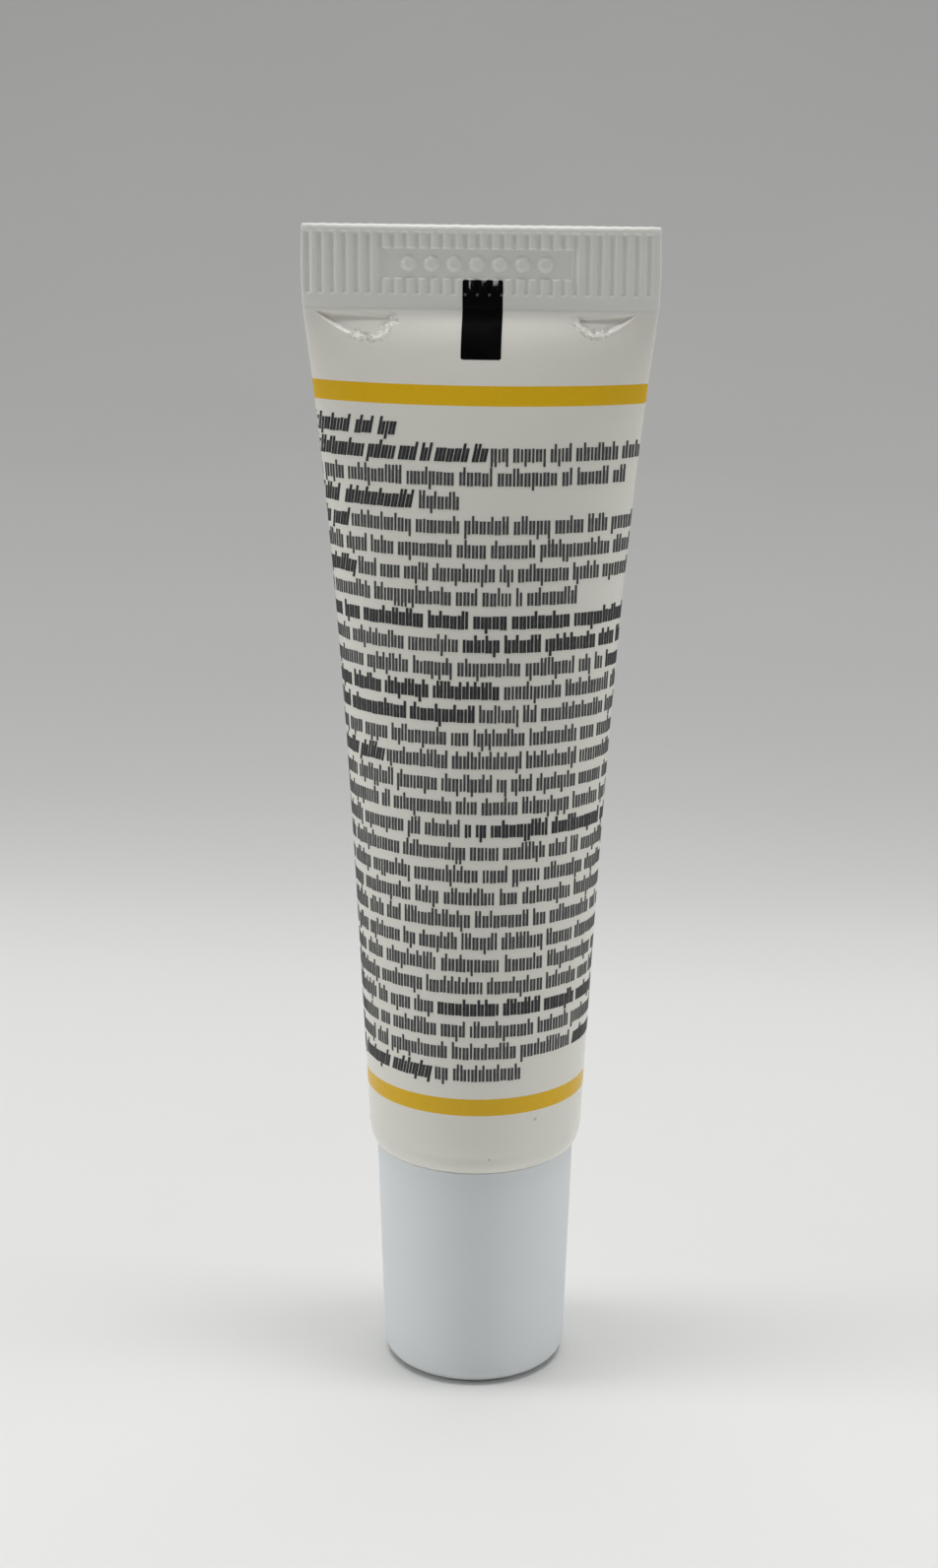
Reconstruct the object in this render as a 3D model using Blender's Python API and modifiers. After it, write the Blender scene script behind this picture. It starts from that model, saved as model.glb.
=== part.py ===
"""A small squeeze tube of serum, standing on its screw cap.

The round end of the sleeve is at the bottom, over the cap. Its other end is pressed flat
at the top. The origin is the centre of the cap's flat end, +Z is up, X runs along the
flat crimp, and the tube's axis is the Z axis. Lengths are in metres.
"""

import math

import bmesh
import bpy

MM = 0.001
FULL_TURN = 2.0 * math.pi

# Driving dimensions: the sleeve
SLEEVE_DIAMETER = 19.0 * MM
SLEEVE_WALL = 0.45 * MM
SLEEVE_LENGTH = 81.1 * MM
FOOT_ROUNDING = 1.0 * MM
FOOT_LIP = 1.9 * MM
CRIMP_HEIGHT = 7.0 * MM
CRIMP_THICKNESS = 1.0 * MM
CRIMP_SPREAD = 0.15 * MM
CRIMP_BOW = 0.12 * MM
CRIMP_SEAL_DEPTH = 0.8 * MM

# Driving dimensions: the ribs and the code window pressed into the crimp
RIB_PITCH = 1.03 * MM
RIB_GROOVE_WIDTH = 0.45 * MM
RIB_GROOVE_DEPTH = 0.16 * MM
RIB_TOP_LAND = 0.45 * MM
RIB_FOOT_LAND = 1.15 * MM
WINDOW_WIDTH = 16.0 * MM
WINDOW_HEIGHT = 2.65 * MM
WINDOW_FOOT_LAND = 2.5 * MM
WINDOW_DEPTH = 0.24 * MM
CUT_OVERRUN = 0.5 * MM

# Driving dimensions: the tube's head
SHOULDER_THICKNESS = 1.2 * MM
SHOULDER_FUNNEL = 1.6 * MM
NECK_SET_IN = 5.0 * MM
NECK_LENGTH = 9.0 * MM
NECK_WALL = 1.2 * MM
NECK_EDGE = 0.3 * MM
ORIFICE_DIAMETER = 3.0 * MM
ORIFICE_PLATE = 1.0 * MM

# Driving dimensions: the screw thread
THREAD_LEAD = 3.0 * MM
THREAD_BEAD = 1.2 * MM
THREAD_TURNS = 1.5
THREAD_END_LAND = 1.0 * MM
POINTS_PER_TURN = 24

# Driving dimensions: the cap
CAP_HEIGHT = 21.4 * MM
CAP_STEP_IN = 0.65 * MM
CAP_DRAFT = 0.6 * MM
CAP_WALL = 1.0 * MM
CAP_END_THICKNESS = 1.2 * MM
CAP_END_ROUNDING = 0.45 * MM
CORE_WALL = 0.9 * MM
CORE_DROP = 0.5 * MM
CORE_WEB = 1.0 * MM

# Driving dimensions: the seals and the contents
LINER_THICKNESS = 1.0 * MM
LINER_EDGE = 0.1 * MM
FOIL_THICKNESS = 0.2 * MM
HEADSPACE = 1.5 * MM

# The clearance that every piece keeps to the piece it seats on
FIT_GAP = 0.3 * MM

# Shapes of the sleeve between its round foot and its flat crimp, as shares
WIDTH_STEADY_SHARE = 0.65
WIDTH_FLARE_POWER = 3.3
DEPTH_POWER = 0.58
DEPTH_LEAN_SHARE = 0.22
LENS_POWER = 3.2
EDGE_BLUNT_SHARE = 0.35
LEAST_RISE_SHARE = 0.00001

# Counts that set how fine the solids are
TURNED_STEPS = 48
SLEEVE_STEPS = 48
OUTER_RINGS = 18
INNER_RINGS = 15
CRIMP_RINGS = 2
SERUM_RINGS = 13
ARC_STEPS = 4
SMOOTH_ANGLE = math.radians(35.0)
MERGE_DISTANCE = 0.01 * MM

# Heights, from the floor up
SLEEVE_FOOT_Z = CAP_HEIGHT + FIT_GAP
SLEEVE_TOP_Z = SLEEVE_FOOT_Z + SLEEVE_LENGTH
CRIMP_FOOT_Z = SLEEVE_TOP_Z - CRIMP_HEIGHT
SLEEVE_FLOOR_Z = SLEEVE_FOOT_Z + SLEEVE_WALL
SHOULDER_Z = SLEEVE_FLOOR_Z + FIT_GAP
SHOULDER_TOP_Z = SHOULDER_Z + SHOULDER_THICKNESS
NECK_RIM_Z = SLEEVE_FOOT_Z - NECK_LENGTH
FOIL_TOP_Z = NECK_RIM_Z - FIT_GAP
LINER_TOP_Z = FOIL_TOP_Z - FOIL_THICKNESS - FIT_GAP
LINER_SEAT_Z = LINER_TOP_Z - LINER_THICKNESS - FIT_GAP
CORE_TOP_Z = CAP_HEIGHT - CORE_DROP
NECK_THREAD_Z = NECK_RIM_Z + THREAD_END_LAND
CAP_THREAD_Z = NECK_THREAD_Z + THREAD_LEAD / 2.0

# Radii
SLEEVE_RADIUS = SLEEVE_DIAMETER / 2.0
SLEEVE_HOLE_RADIUS = SLEEVE_RADIUS - SLEEVE_WALL - FOOT_LIP
SHOULDER_RADIUS = SLEEVE_RADIUS - SLEEVE_WALL - FIT_GAP
NECK_RADIUS = SLEEVE_RADIUS - NECK_SET_IN
NECK_BORE_RADIUS = NECK_RADIUS - NECK_WALL
FUNNEL_RADIUS = NECK_BORE_RADIUS + SHOULDER_FUNNEL
ORIFICE_RADIUS = ORIFICE_DIAMETER / 2.0
BEAD_RADIUS = THREAD_BEAD / 2.0
CAP_RIM_RADIUS = SLEEVE_RADIUS - CAP_STEP_IN
CAP_END_RADIUS = CAP_RIM_RADIUS - CAP_DRAFT
CORE_BORE_RADIUS = NECK_RADIUS + BEAD_RADIUS + FIT_GAP
CORE_RADIUS = CORE_BORE_RADIUS + CORE_WALL
LINER_RADIUS = CORE_BORE_RADIUS - FIT_GAP

# Half the flat width that the sleeve's girth gives when it is pressed flat
GIRTH = math.pi * (SLEEVE_DIAMETER - SLEEVE_WALL)
CRIMP_HALF_WIDTH = GIRTH / 4.0 + SLEEVE_WALL / 2.0 + CRIMP_SPREAD
CRIMP_HALF_DEPTH = CRIMP_THICKNESS / 2.0

COLOURS = {
    "screw_cap": ((0.80, 0.83, 0.85, 1.0), 0.55),
    "cap_liner": ((0.85, 0.85, 0.83, 1.0), 0.8),
    "foil_seal": ((0.75, 0.75, 0.77, 1.0), 0.3),
    "tube_head": ((0.83, 0.82, 0.79, 1.0), 0.4),
    "tube_sleeve": ((0.81, 0.79, 0.73, 1.0), 0.3),
    "serum_fill": ((0.87, 0.80, 0.62, 1.0), 0.2),
}
METALLIC = {"foil_seal": 1.0}


def clear_objects():
    for old in list(bpy.data.objects):
        bpy.data.objects.remove(old, do_unlink=True)


def new_collection(name):
    collection = bpy.data.collections.new(name)
    bpy.context.scene.collection.children.link(collection)
    return collection


def new_material(name):
    colour, roughness = COLOURS[name]
    material = bpy.data.materials.new(name)
    material.use_nodes = True
    shader = material.node_tree.nodes["Principled BSDF"]
    shader.inputs["Base Color"].default_value = colour
    shader.inputs["Roughness"].default_value = roughness
    shader.inputs["Metallic"].default_value = METALLIC.get(name, 0.0)
    return material


def add_object(name, mesh, collection):
    thing = bpy.data.objects.new(name, mesh)
    collection.objects.link(thing)
    return thing


def finish_piece(thing, name):
    """Give a piece its material and shade its round sides smooth."""
    thing.data.materials.append(new_material(name))
    thing.data.shade_smooth()
    thing.data.set_sharp_from_angle(angle=SMOOTH_ANGLE)


def arc(centre, radius, start, end):
    """Points of a round corner in a turned profile, as (radius, height) pairs."""
    points = []
    for step in range(ARC_STEPS + 1):
        angle = start + (end - start) * step / ARC_STEPS
        points.append((centre[0] + radius * math.cos(angle), centre[1] + radius * math.sin(angle)))
    return points


def turned(name, profile, collection, closed=False):
    """Turn a profile, which runs down its outer side, about the Z axis."""
    shape = bmesh.new()
    verts = [shape.verts.new((radius, 0.0, height)) for radius, height in profile]
    for first, second in zip(verts, verts[1:]):
        shape.edges.new((first, second))
    if closed:
        shape.edges.new((verts[-1], verts[0]))
    mesh = bpy.data.meshes.new(name)
    shape.to_mesh(mesh)
    shape.free()
    thing = add_object(name, mesh, collection)
    screw = thing.modifiers.new("Turn", "SCREW")
    screw.steps = TURNED_STEPS
    screw.render_steps = TURNED_STEPS
    screw.use_merge_vertices = True
    screw.merge_threshold = MERGE_DISTANCE
    return thing


def lofted(name, rings, collection):
    """Skin a chain of rings that have the same number of points, and close both ends."""
    shape = bmesh.new()
    loops = [[shape.verts.new(point) for point in ring] for ring in rings]
    for lower, upper in zip(loops, loops[1:]):
        for index in range(len(lower)):
            after = (index + 1) % len(lower)
            shape.faces.new((lower[index], lower[after], upper[after], upper[index]))
    shape.faces.new(list(reversed(loops[0])))
    shape.faces.new(loops[-1])
    bmesh.ops.recalc_face_normals(shape, faces=shape.faces)
    mesh = bpy.data.meshes.new(name)
    shape.to_mesh(mesh)
    shape.free()
    return add_object(name, mesh, collection)


def disc(name, radius, thickness, top, collection, edge=0.0):
    """Make a round plate whose upper face lies at the height given."""
    shape = bmesh.new()
    bmesh.ops.create_cone(shape, cap_ends=True, segments=TURNED_STEPS,
                          radius1=radius, radius2=radius, depth=thickness)
    mesh = bpy.data.meshes.new(name)
    shape.to_mesh(mesh)
    shape.free()
    thing = add_object(name, mesh, collection)
    thing.location.z = top - thickness / 2.0
    if edge:
        bevel = thing.modifiers.new("Edge", "BEVEL")
        bevel.width = edge
    return thing


def box_cutter(name, corners, collection):
    """Make one object of separate boxes, each given by its low and its high corner."""
    shape = bmesh.new()
    for low, high in corners:
        made = bmesh.ops.create_cube(shape, size=1.0)
        for vert in made["verts"]:
            for axis in range(3):
                middle = (low[axis] + high[axis]) / 2.0
                vert.co[axis] = middle + vert.co[axis] * (high[axis] - low[axis])
    mesh = bpy.data.meshes.new(name)
    shape.to_mesh(mesh)
    shape.free()
    return hide_guide(add_object(name, mesh, collection))


def hide_guide(thing):
    thing.hide_render = True
    thing.display_type = "WIRE"
    return thing


def combine(thing, other, operation):
    """Join or cut a piece with a guide object."""
    boolean = thing.modifiers.new(other.name, "BOOLEAN")
    boolean.operation = operation
    boolean.solver = "EXACT"
    boolean.object = other


def helical_bead(name, radius, foot, collection):
    """Make a round bead that climbs a right-handed helix, as a closed mesh."""
    curve = bpy.data.curves.new(name, "CURVE")
    curve.dimensions = "3D"
    curve.bevel_depth = BEAD_RADIUS
    curve.bevel_resolution = 2
    curve.use_fill_caps = True
    spline = curve.splines.new("POLY")
    count = round(THREAD_TURNS * POINTS_PER_TURN)
    spline.points.add(count)
    for index, point in enumerate(spline.points):
        turns = index / POINTS_PER_TURN
        angle = FULL_TURN * turns
        point.co = (radius * math.cos(angle), radius * math.sin(angle), foot + THREAD_LEAD * turns, 1.0)
    guide = add_object(name, curve, collection)
    bpy.context.view_layer.update()
    evaluated = guide.evaluated_get(bpy.context.evaluated_depsgraph_get())
    mesh = bpy.data.meshes.new_from_object(evaluated)
    shape = bmesh.new()
    shape.from_mesh(mesh)
    bmesh.ops.remove_doubles(shape, verts=shape.verts, dist=MERGE_DISTANCE)
    bmesh.ops.recalc_face_normals(shape, faces=shape.faces)
    shape.to_mesh(mesh)
    shape.free()
    bead = add_object(name + "_bead", mesh, collection)
    bead.matrix_world = guide.matrix_world
    bpy.data.objects.remove(guide, do_unlink=True)
    return hide_guide(bead)


def body_share(height):
    """How far up a height lies between the sleeve's foot and the crimp, from 0 to 1."""
    share = (height - SLEEVE_FOOT_Z) / (CRIMP_FOOT_Z - SLEEVE_FOOT_Z)
    return min(max(share, 0.0), 1.0)


def sleeve_half_width(height):
    share = body_share(height)
    steady = WIDTH_STEADY_SHARE * share
    flare = (1.0 - WIDTH_STEADY_SHARE) * share ** WIDTH_FLARE_POWER
    width = SLEEVE_RADIUS + (CRIMP_HALF_WIDTH - SLEEVE_RADIUS) * (steady + flare)
    crimp_share = min(max((height - CRIMP_FOOT_Z) / CRIMP_HEIGHT, 0.0), 1.0)
    return width + CRIMP_BOW * math.sin(math.pi * crimp_share)


def sleeve_half_depth(height):
    share = body_share(height)
    closing = (1.0 - share) ** DEPTH_POWER * (1.0 + DEPTH_LEAN_SHARE * share)
    return CRIMP_HALF_DEPTH + (SLEEVE_RADIUS - CRIMP_HALF_DEPTH) * min(closing, 1.0)


def section(height, inset, least_depth):
    """Points of the sleeve's outline at a height, moved inwards by an inset.

    The outline is a circle at the foot. It turns into a lens, and at the crimp into a
    flat strip with blunt edges, half as thick as least_depth or more.
    """
    share = body_share(height)
    half_width = sleeve_half_width(height) - inset
    half_depth = max(sleeve_half_depth(height) - inset, least_depth)
    blunt_depth = min(CRIMP_HALF_DEPTH, half_depth)
    lens = 1.0 + share ** LENS_POWER
    blunt = 1.0 - (1.0 - EDGE_BLUNT_SHARE) * share ** LENS_POWER
    points = []
    for step in range(SLEEVE_STEPS):
        angle = FULL_TURN * step / SLEEVE_STEPS
        rise = abs(math.sin(angle))
        side = math.copysign(1.0, math.sin(angle)) if rise > LEAST_RISE_SHARE else 0.0
        depth = (half_depth - blunt_depth) * rise ** lens + blunt_depth * rise ** blunt
        points.append((half_width * math.cos(angle), side * depth, height))
    return points


def circle(radius, height):
    """Points of a round ring, in step with those of a section."""
    points = []
    for step in range(SLEEVE_STEPS):
        angle = FULL_TURN * step / SLEEVE_STEPS
        points.append((radius * math.cos(angle), radius * math.sin(angle), height))
    return points


def heights_between(low, high, count):
    """Heights that lie closer together towards the upper end, where the sleeve closes."""
    shares = [math.sin(math.pi / 2.0 * index / count) for index in range(count + 1)]
    return [low + (high - low) * share for share in shares]


def tube_sleeve(collection, cutters):
    """Make the sleeve: a round skin with a turned-in foot and a flat, ribbed crimp."""
    seal_z = CRIMP_FOOT_Z - CRIMP_SEAL_DEPTH
    inner_low = SLEEVE_FLOOR_Z + FOOT_ROUNDING - SLEEVE_WALL
    inner = [section(height, SLEEVE_WALL, FIT_GAP / 2.0)
             for height in heights_between(inner_low, seal_z, INNER_RINGS)]
    outer_low = SLEEVE_FOOT_Z + FOOT_ROUNDING
    outer = [section(height, 0.0, CRIMP_HALF_DEPTH)
             for height in heights_between(outer_low, CRIMP_FOOT_Z, OUTER_RINGS)]
    crimp = [section(CRIMP_FOOT_Z + CRIMP_HEIGHT * (ring + 1) / CRIMP_RINGS, 0.0, CRIMP_HALF_DEPTH)
             for ring in range(CRIMP_RINGS)]
    corner = (SLEEVE_RADIUS - FOOT_ROUNDING, SLEEVE_FOOT_Z + FOOT_ROUNDING)
    foot = [circle(radius, height)
            for radius, height in arc(corner, FOOT_ROUNDING, -math.pi / 2.0, 0.0)][:-1]
    inner_corner = SLEEVE_RADIUS - FOOT_ROUNDING
    floor = [circle(inner_corner, SLEEVE_FLOOR_Z), circle(SLEEVE_HOLE_RADIUS, SLEEVE_FLOOR_Z)]
    lip = [circle(SLEEVE_HOLE_RADIUS, SLEEVE_FOOT_Z)]
    rings = list(reversed(inner)) + floor + lip + foot + outer + crimp
    thing = lofted("tube_sleeve", rings, collection)
    combine(thing, rib_grooves(cutters), "DIFFERENCE")
    combine(thing, code_window(cutters), "DIFFERENCE")
    finish_piece(thing, "tube_sleeve")
    return thing


def rib_grooves(collection):
    """Make the upright grooves that the crimping jaws press into both faces."""
    count = int((CRIMP_HALF_WIDTH - RIB_GROOVE_WIDTH) / RIB_PITCH)
    low = CRIMP_FOOT_Z + RIB_FOOT_LAND
    high = SLEEVE_TOP_Z - RIB_TOP_LAND
    floor = CRIMP_HALF_DEPTH - RIB_GROOVE_DEPTH
    outside = CRIMP_HALF_DEPTH + CUT_OVERRUN
    boxes = []
    for index in range(-count, count + 1):
        left = RIB_PITCH * index - RIB_GROOVE_WIDTH / 2.0
        right = left + RIB_GROOVE_WIDTH
        boxes.append(((left, -outside, low), (right, -floor, high)))
        boxes.append(((left, floor, low), (right, outside, high)))
    return box_cutter("rib_grooves", boxes, collection)


def code_window(collection):
    """Make the shallow oblong field that is pressed into the front of the crimp."""
    low = CRIMP_FOOT_Z + WINDOW_FOOT_LAND
    corners = ((-WINDOW_WIDTH / 2.0, -CRIMP_HALF_DEPTH - CUT_OVERRUN, low),
               (WINDOW_WIDTH / 2.0, -CRIMP_HALF_DEPTH + WINDOW_DEPTH, low + WINDOW_HEIGHT))
    return box_cutter("code_window", [corners], collection)


def serum_fill(collection):
    """Make the serum: it fills the sleeve, the funnel of the head and the neck's bore."""
    gap = SLEEVE_WALL + FIT_GAP
    low = SHOULDER_TOP_Z + FIT_GAP
    high = CRIMP_FOOT_Z - CRIMP_SEAL_DEPTH - HEADSPACE
    bore = NECK_BORE_RADIUS - FIT_GAP
    rings = [
        circle(bore, NECK_RIM_Z + ORIFICE_PLATE + FIT_GAP),
        circle(bore, SHOULDER_Z),
        circle(FUNNEL_RADIUS - FIT_GAP, low),
    ]
    rings += [section(height, gap, FIT_GAP) for height in heights_between(low, high, SERUM_RINGS)]
    thing = lofted("serum_fill", rings, collection)
    finish_piece(thing, "serum_fill")
    return thing


def tube_head(collection, cutters):
    """Make the head: a shoulder plate with a funnel, and a threaded neck below it."""
    profile = [
        (SHOULDER_RADIUS, SHOULDER_TOP_Z),
        (SHOULDER_RADIUS, SHOULDER_Z),
        (NECK_RADIUS, SHOULDER_Z),
        (NECK_RADIUS, NECK_RIM_Z + NECK_EDGE),
        (NECK_RADIUS - NECK_EDGE, NECK_RIM_Z),
        (ORIFICE_RADIUS, NECK_RIM_Z),
        (ORIFICE_RADIUS, NECK_RIM_Z + ORIFICE_PLATE),
        (NECK_BORE_RADIUS, NECK_RIM_Z + ORIFICE_PLATE),
        (NECK_BORE_RADIUS, SHOULDER_Z),
        (FUNNEL_RADIUS, SHOULDER_TOP_Z),
    ]
    thing = turned("tube_head", profile, collection, closed=True)
    combine(thing, helical_bead("neck_thread", NECK_RADIUS, NECK_THREAD_Z, cutters), "UNION")
    finish_piece(thing, "tube_head")
    return thing


def screw_cap(collection, cutters):
    """Make the cap: a drafted shell and a threaded core on one end plate, with a web."""
    floor_radius = CAP_END_RADIUS + CAP_DRAFT * CAP_END_THICKNESS / CAP_HEIGHT - CAP_WALL
    corner = (CAP_END_RADIUS - CAP_END_ROUNDING, CAP_END_ROUNDING)
    profile = [
        (0.0, CAP_END_THICKNESS),
        (CORE_BORE_RADIUS, CAP_END_THICKNESS),
        (CORE_BORE_RADIUS, CORE_TOP_Z),
        (CORE_RADIUS, CORE_TOP_Z),
        (CORE_RADIUS, CAP_END_THICKNESS),
        (floor_radius, CAP_END_THICKNESS),
        (CAP_RIM_RADIUS - CAP_WALL, CAP_HEIGHT),
        (CAP_RIM_RADIUS, CAP_HEIGHT),
    ]
    profile += arc(corner, CAP_END_ROUNDING, 0.0, -math.pi / 2.0)
    profile.append((0.0, 0.0))
    thing = turned("screw_cap", profile, collection)
    reach = floor_radius + CAP_WALL / 2.0
    half_web = CORE_WEB / 2.0
    low = CAP_END_THICKNESS / 2.0
    webs = [
        box_cutter("web_along_x", [((-reach, -half_web, low), (reach, half_web, LINER_SEAT_Z))], cutters),
        box_cutter("web_along_y", [((-half_web, -reach, low), (half_web, reach, LINER_SEAT_Z))], cutters),
    ]
    for web in webs:
        combine(thing, web, "UNION")
    combine(thing, helical_bead("cap_thread", CORE_BORE_RADIUS, CAP_THREAD_Z, cutters), "UNION")
    finish_piece(thing, "screw_cap")
    return thing


def cap_liner(collection):
    thing = disc("cap_liner", LINER_RADIUS, LINER_THICKNESS, LINER_TOP_Z, collection, LINER_EDGE)
    finish_piece(thing, "cap_liner")
    return thing


def foil_seal(collection):
    thing = disc("foil_seal", NECK_RADIUS, FOIL_THICKNESS, FOIL_TOP_Z, collection)
    finish_piece(thing, "foil_seal")
    return thing


def build():
    clear_objects()
    pieces = new_collection("serum_tube")
    cutters = new_collection("serum_tube_cutters")
    screw_cap(pieces, cutters)
    cap_liner(pieces)
    foil_seal(pieces)
    tube_head(pieces, cutters)
    tube_sleeve(pieces, cutters)
    serum_fill(pieces)


build()
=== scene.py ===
"""The looks of a small squeeze tube of serum that stands on its screw cap.

Lengths are in metres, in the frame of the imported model: +Z up, X along the flat crimp, and
the front face at -Y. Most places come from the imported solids' own boxes.
"""

import math

import bmesh
import bpy
import numpy as np
from mathutils import Matrix, Vector


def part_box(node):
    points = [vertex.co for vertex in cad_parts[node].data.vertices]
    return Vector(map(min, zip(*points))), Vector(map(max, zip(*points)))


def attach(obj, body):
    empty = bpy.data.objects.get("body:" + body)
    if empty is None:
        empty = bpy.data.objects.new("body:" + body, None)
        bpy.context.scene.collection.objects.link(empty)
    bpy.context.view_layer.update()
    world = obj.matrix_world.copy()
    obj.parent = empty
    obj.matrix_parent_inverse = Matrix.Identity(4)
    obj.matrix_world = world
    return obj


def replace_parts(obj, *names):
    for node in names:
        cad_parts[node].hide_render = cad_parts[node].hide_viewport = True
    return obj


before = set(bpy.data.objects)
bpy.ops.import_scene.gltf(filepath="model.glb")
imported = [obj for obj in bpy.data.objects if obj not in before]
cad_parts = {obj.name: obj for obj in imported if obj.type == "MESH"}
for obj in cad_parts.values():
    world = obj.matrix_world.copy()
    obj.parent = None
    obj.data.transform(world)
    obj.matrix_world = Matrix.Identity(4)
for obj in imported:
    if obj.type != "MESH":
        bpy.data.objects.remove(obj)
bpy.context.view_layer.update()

MM = 0.001
FULL_TURN = 2.0 * math.pi
QUARTER_TURN = math.pi / 2.0

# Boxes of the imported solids, which give the heights and radii below
SLEEVE_LOW, SLEEVE_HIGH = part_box("tube_sleeve")
CAP_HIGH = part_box("screw_cap")[1]
HEAD_LOW, HEAD_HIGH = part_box("tube_head")
LINER_LOW, LINER_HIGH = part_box("cap_liner")
FOIL_LOW, FOIL_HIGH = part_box("foil_seal")
FIT_GAP = 0.3 * MM

# The sleeve, as the solid has it
SLEEVE_FOOT_Z = SLEEVE_LOW[2]
SLEEVE_TOP_Z = SLEEVE_HIGH[2]
SLEEVE_RADIUS = 9.5 * MM
SLEEVE_HALF_DEPTH = SLEEVE_HIGH[1]
SLEEVE_WALL = 0.45 * MM
FOOT_DROP = 0.5 * MM
FOOT_EDGE_HEIGHT = 1.8 * MM
FOOT_EDGE_DEPTH = 0.72 * MM
FOOT_BEAD = 0.07 * MM
FOOT_BEAD_HEIGHT = 0.2 * MM
FOOT_LIP = 1.9 * MM
LIP_EDGE = 0.11 * MM
CRIMP_HEIGHT = 7.0 * MM
CRIMP_HALF_DEPTH = 0.5 * MM
CRIMP_BOW = 0.12 * MM
CRIMP_HALF_WIDTH = SLEEVE_HIGH[0] - CRIMP_BOW
CRIMP_FOOT_Z = SLEEVE_TOP_Z - CRIMP_HEIGHT
CRIMP_SEAL_DEPTH = 1.5 * MM
TOP_ROUNDING = 0.42 * MM
TOP_SIDE_ROUNDING = 0.1 * MM
TOP_WAVE = 0.025 * MM
TOP_WAVE_LENGTH = 1.9 * MM
TOP_NIBBLE_SHARE = 0.3
TOP_NIBBLE_LENGTH = 0.9 * MM
LIP_RISE = 0.05 * MM
LIP_HEIGHT = 0.55 * MM
LIP_FLANK = 0.16 * MM
CRIMP_START = 0.3 * MM
WIDTH_STEADY_SHARE = 0.65
WIDTH_FLARE_POWER = 3.3
DEPTH_POWER = 0.58
DEPTH_LEAN_SHARE = 0.22
DEPTH_START_SHARE = 0.02
LENS_POWER = 3.2
EDGE_BLUNT_SHARE = 0.35
LITTLE_TURN = 0.002
LITTLE_RISE = 0.02 * MM
LEAST_NORMAL = 1e-12

# The ribs, the sunk field and its row of pips
RIB_PITCH = 1.018 * MM
RIB_SHIFT = -0.21 * MM
RIBS_EACH_SIDE = 14
GROOVE_HALF_WIDTH = 0.4 * MM
GROOVE_DEPTH = 0.19 * MM
GROOVE_END_LENGTH = 0.3 * MM
GROOVE_FOOT_DIMPLE = 0.03 * MM
GROOVE_FOOT_RADIUS = 0.26 * MM
RIB_TOP_LAND = 0.45 * MM
RIB_FOOT_LAND = 1.15 * MM
WINDOW_MIDDLE = -0.27 * MM
WINDOW_HALF_WIDTH = 8.1 * MM
WINDOW_HEIGHT = 2.65 * MM
WINDOW_FOOT_LAND = 2.5 * MM
WINDOW_DEPTH = 0.19 * MM
WINDOW_EDGE = 0.15 * MM
PIP_COUNT = 7
PIP_PITCH = 1.9 * MM
PIP_RADIUS = 0.72 * MM
PIP_FLAT_SHARE = 0.45
PIP_RISE = 0.2 * MM
CREASE_DEPTH = 0.05 * MM
CREASE_HALF_HEIGHT = 0.35 * MM
CREASE_RISE = 0.1 * MM

# The pockets pressed in below the crimp's corners: outer tip, inner end and drop
POCKETS = (
    (-14.2 * MM, -7.3 * MM, 2.45 * MM),
    (13.35 * MM, 8.2 * MM, 2.0 * MM),
)
POCKET_OUTER_LAND = 0.1 * MM
POCKET_INNER_LAND = 0.5 * MM
POCKET_LOWEST_SHARE = 0.74
POCKET_DEPTH_SHARES = (0.5, 0.15)
POCKET_EDGE_SHARE = 0.54
POCKET_LEAST_EDGE = 0.1 * MM
POCKET_MOST_EDGE = 0.5 * MM
POCKET_TOP_EDGE = 0.25 * MM
POCKET_TOP_STEP = 0.07 * MM
POCKET_BEVEL = 0.36 * MM
POCKET_BEVEL_TILT = math.radians(40.0)
POCKET_LIP = 0.02 * MM
POCKET_LIP_WIDTH = 0.3 * MM
POCKET_CRINKLE = 0.035 * MM
POCKET_CRINKLE_LENGTH = 0.5 * MM
POCKET_CRINKLE_REACH = 0.45 * MM
POCKET_CRUMPLE_SHARES = (0.3, 0.8)
POCKET_TIP_SHARE = 0.06
POCKET_END_SHARE = 0.96
POCKET_SPOT_STEP = 0.4 * MM
POCKET_SMOOTH_RADIUS = 0.36 * MM
POCKET_SPOT_LAND = 0.8 * MM
POCKET_CRUMPLED_SHARE = 0.55
POCKET_CRUMPLED_RADIUS = 0.45 * MM

# Slow unevenness of the film, from a few layers of waves across each other
RIPPLE_LAYERS = 5
RIPPLE_TURN = 2.4
RIPPLE_FIRST_SHARE = 0.7
RIPPLE_ADDED_SHARE = 0.17
FILM_WAVE = 0.02 * MM
FILM_WAVE_LENGTH = 9.0 * MM
FILM_RIPPLE = 0.035 * MM
FILM_RIPPLE_LENGTH = 4.0 * MM
FILM_RIPPLE_REACH = 14.0 * MM
FILM_RIPPLE_LAND = 2.0 * MM
FILM_STILL_LENGTH = 4.0 * MM

# The printed bands and the black mark
BAND_LOWER = (26.78 * MM, 28.32 * MM)
BAND_UPPER = (88.2 * MM, 89.85 * MM)
MARK_MIDDLE = 0.24 * MM
MARK_HALF_WIDTH = 1.69 * MM
MARK_LOW_Z = 91.94 * MM
MARK_HIGH_Z = 98.3 * MM
MARK_CORNER = 0.18 * MM
MARK_RUBBED_HEIGHT = 1.15 * MM
# Size of the painted highlight dots at the grooves' feet on the black mark
DOT_CORE = 0.05 * MM
DOT_REACH = 0.14 * MM
PRINT_LIFT = 0.014 * MM
PRINT_SINK = 0.03 * MM

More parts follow.
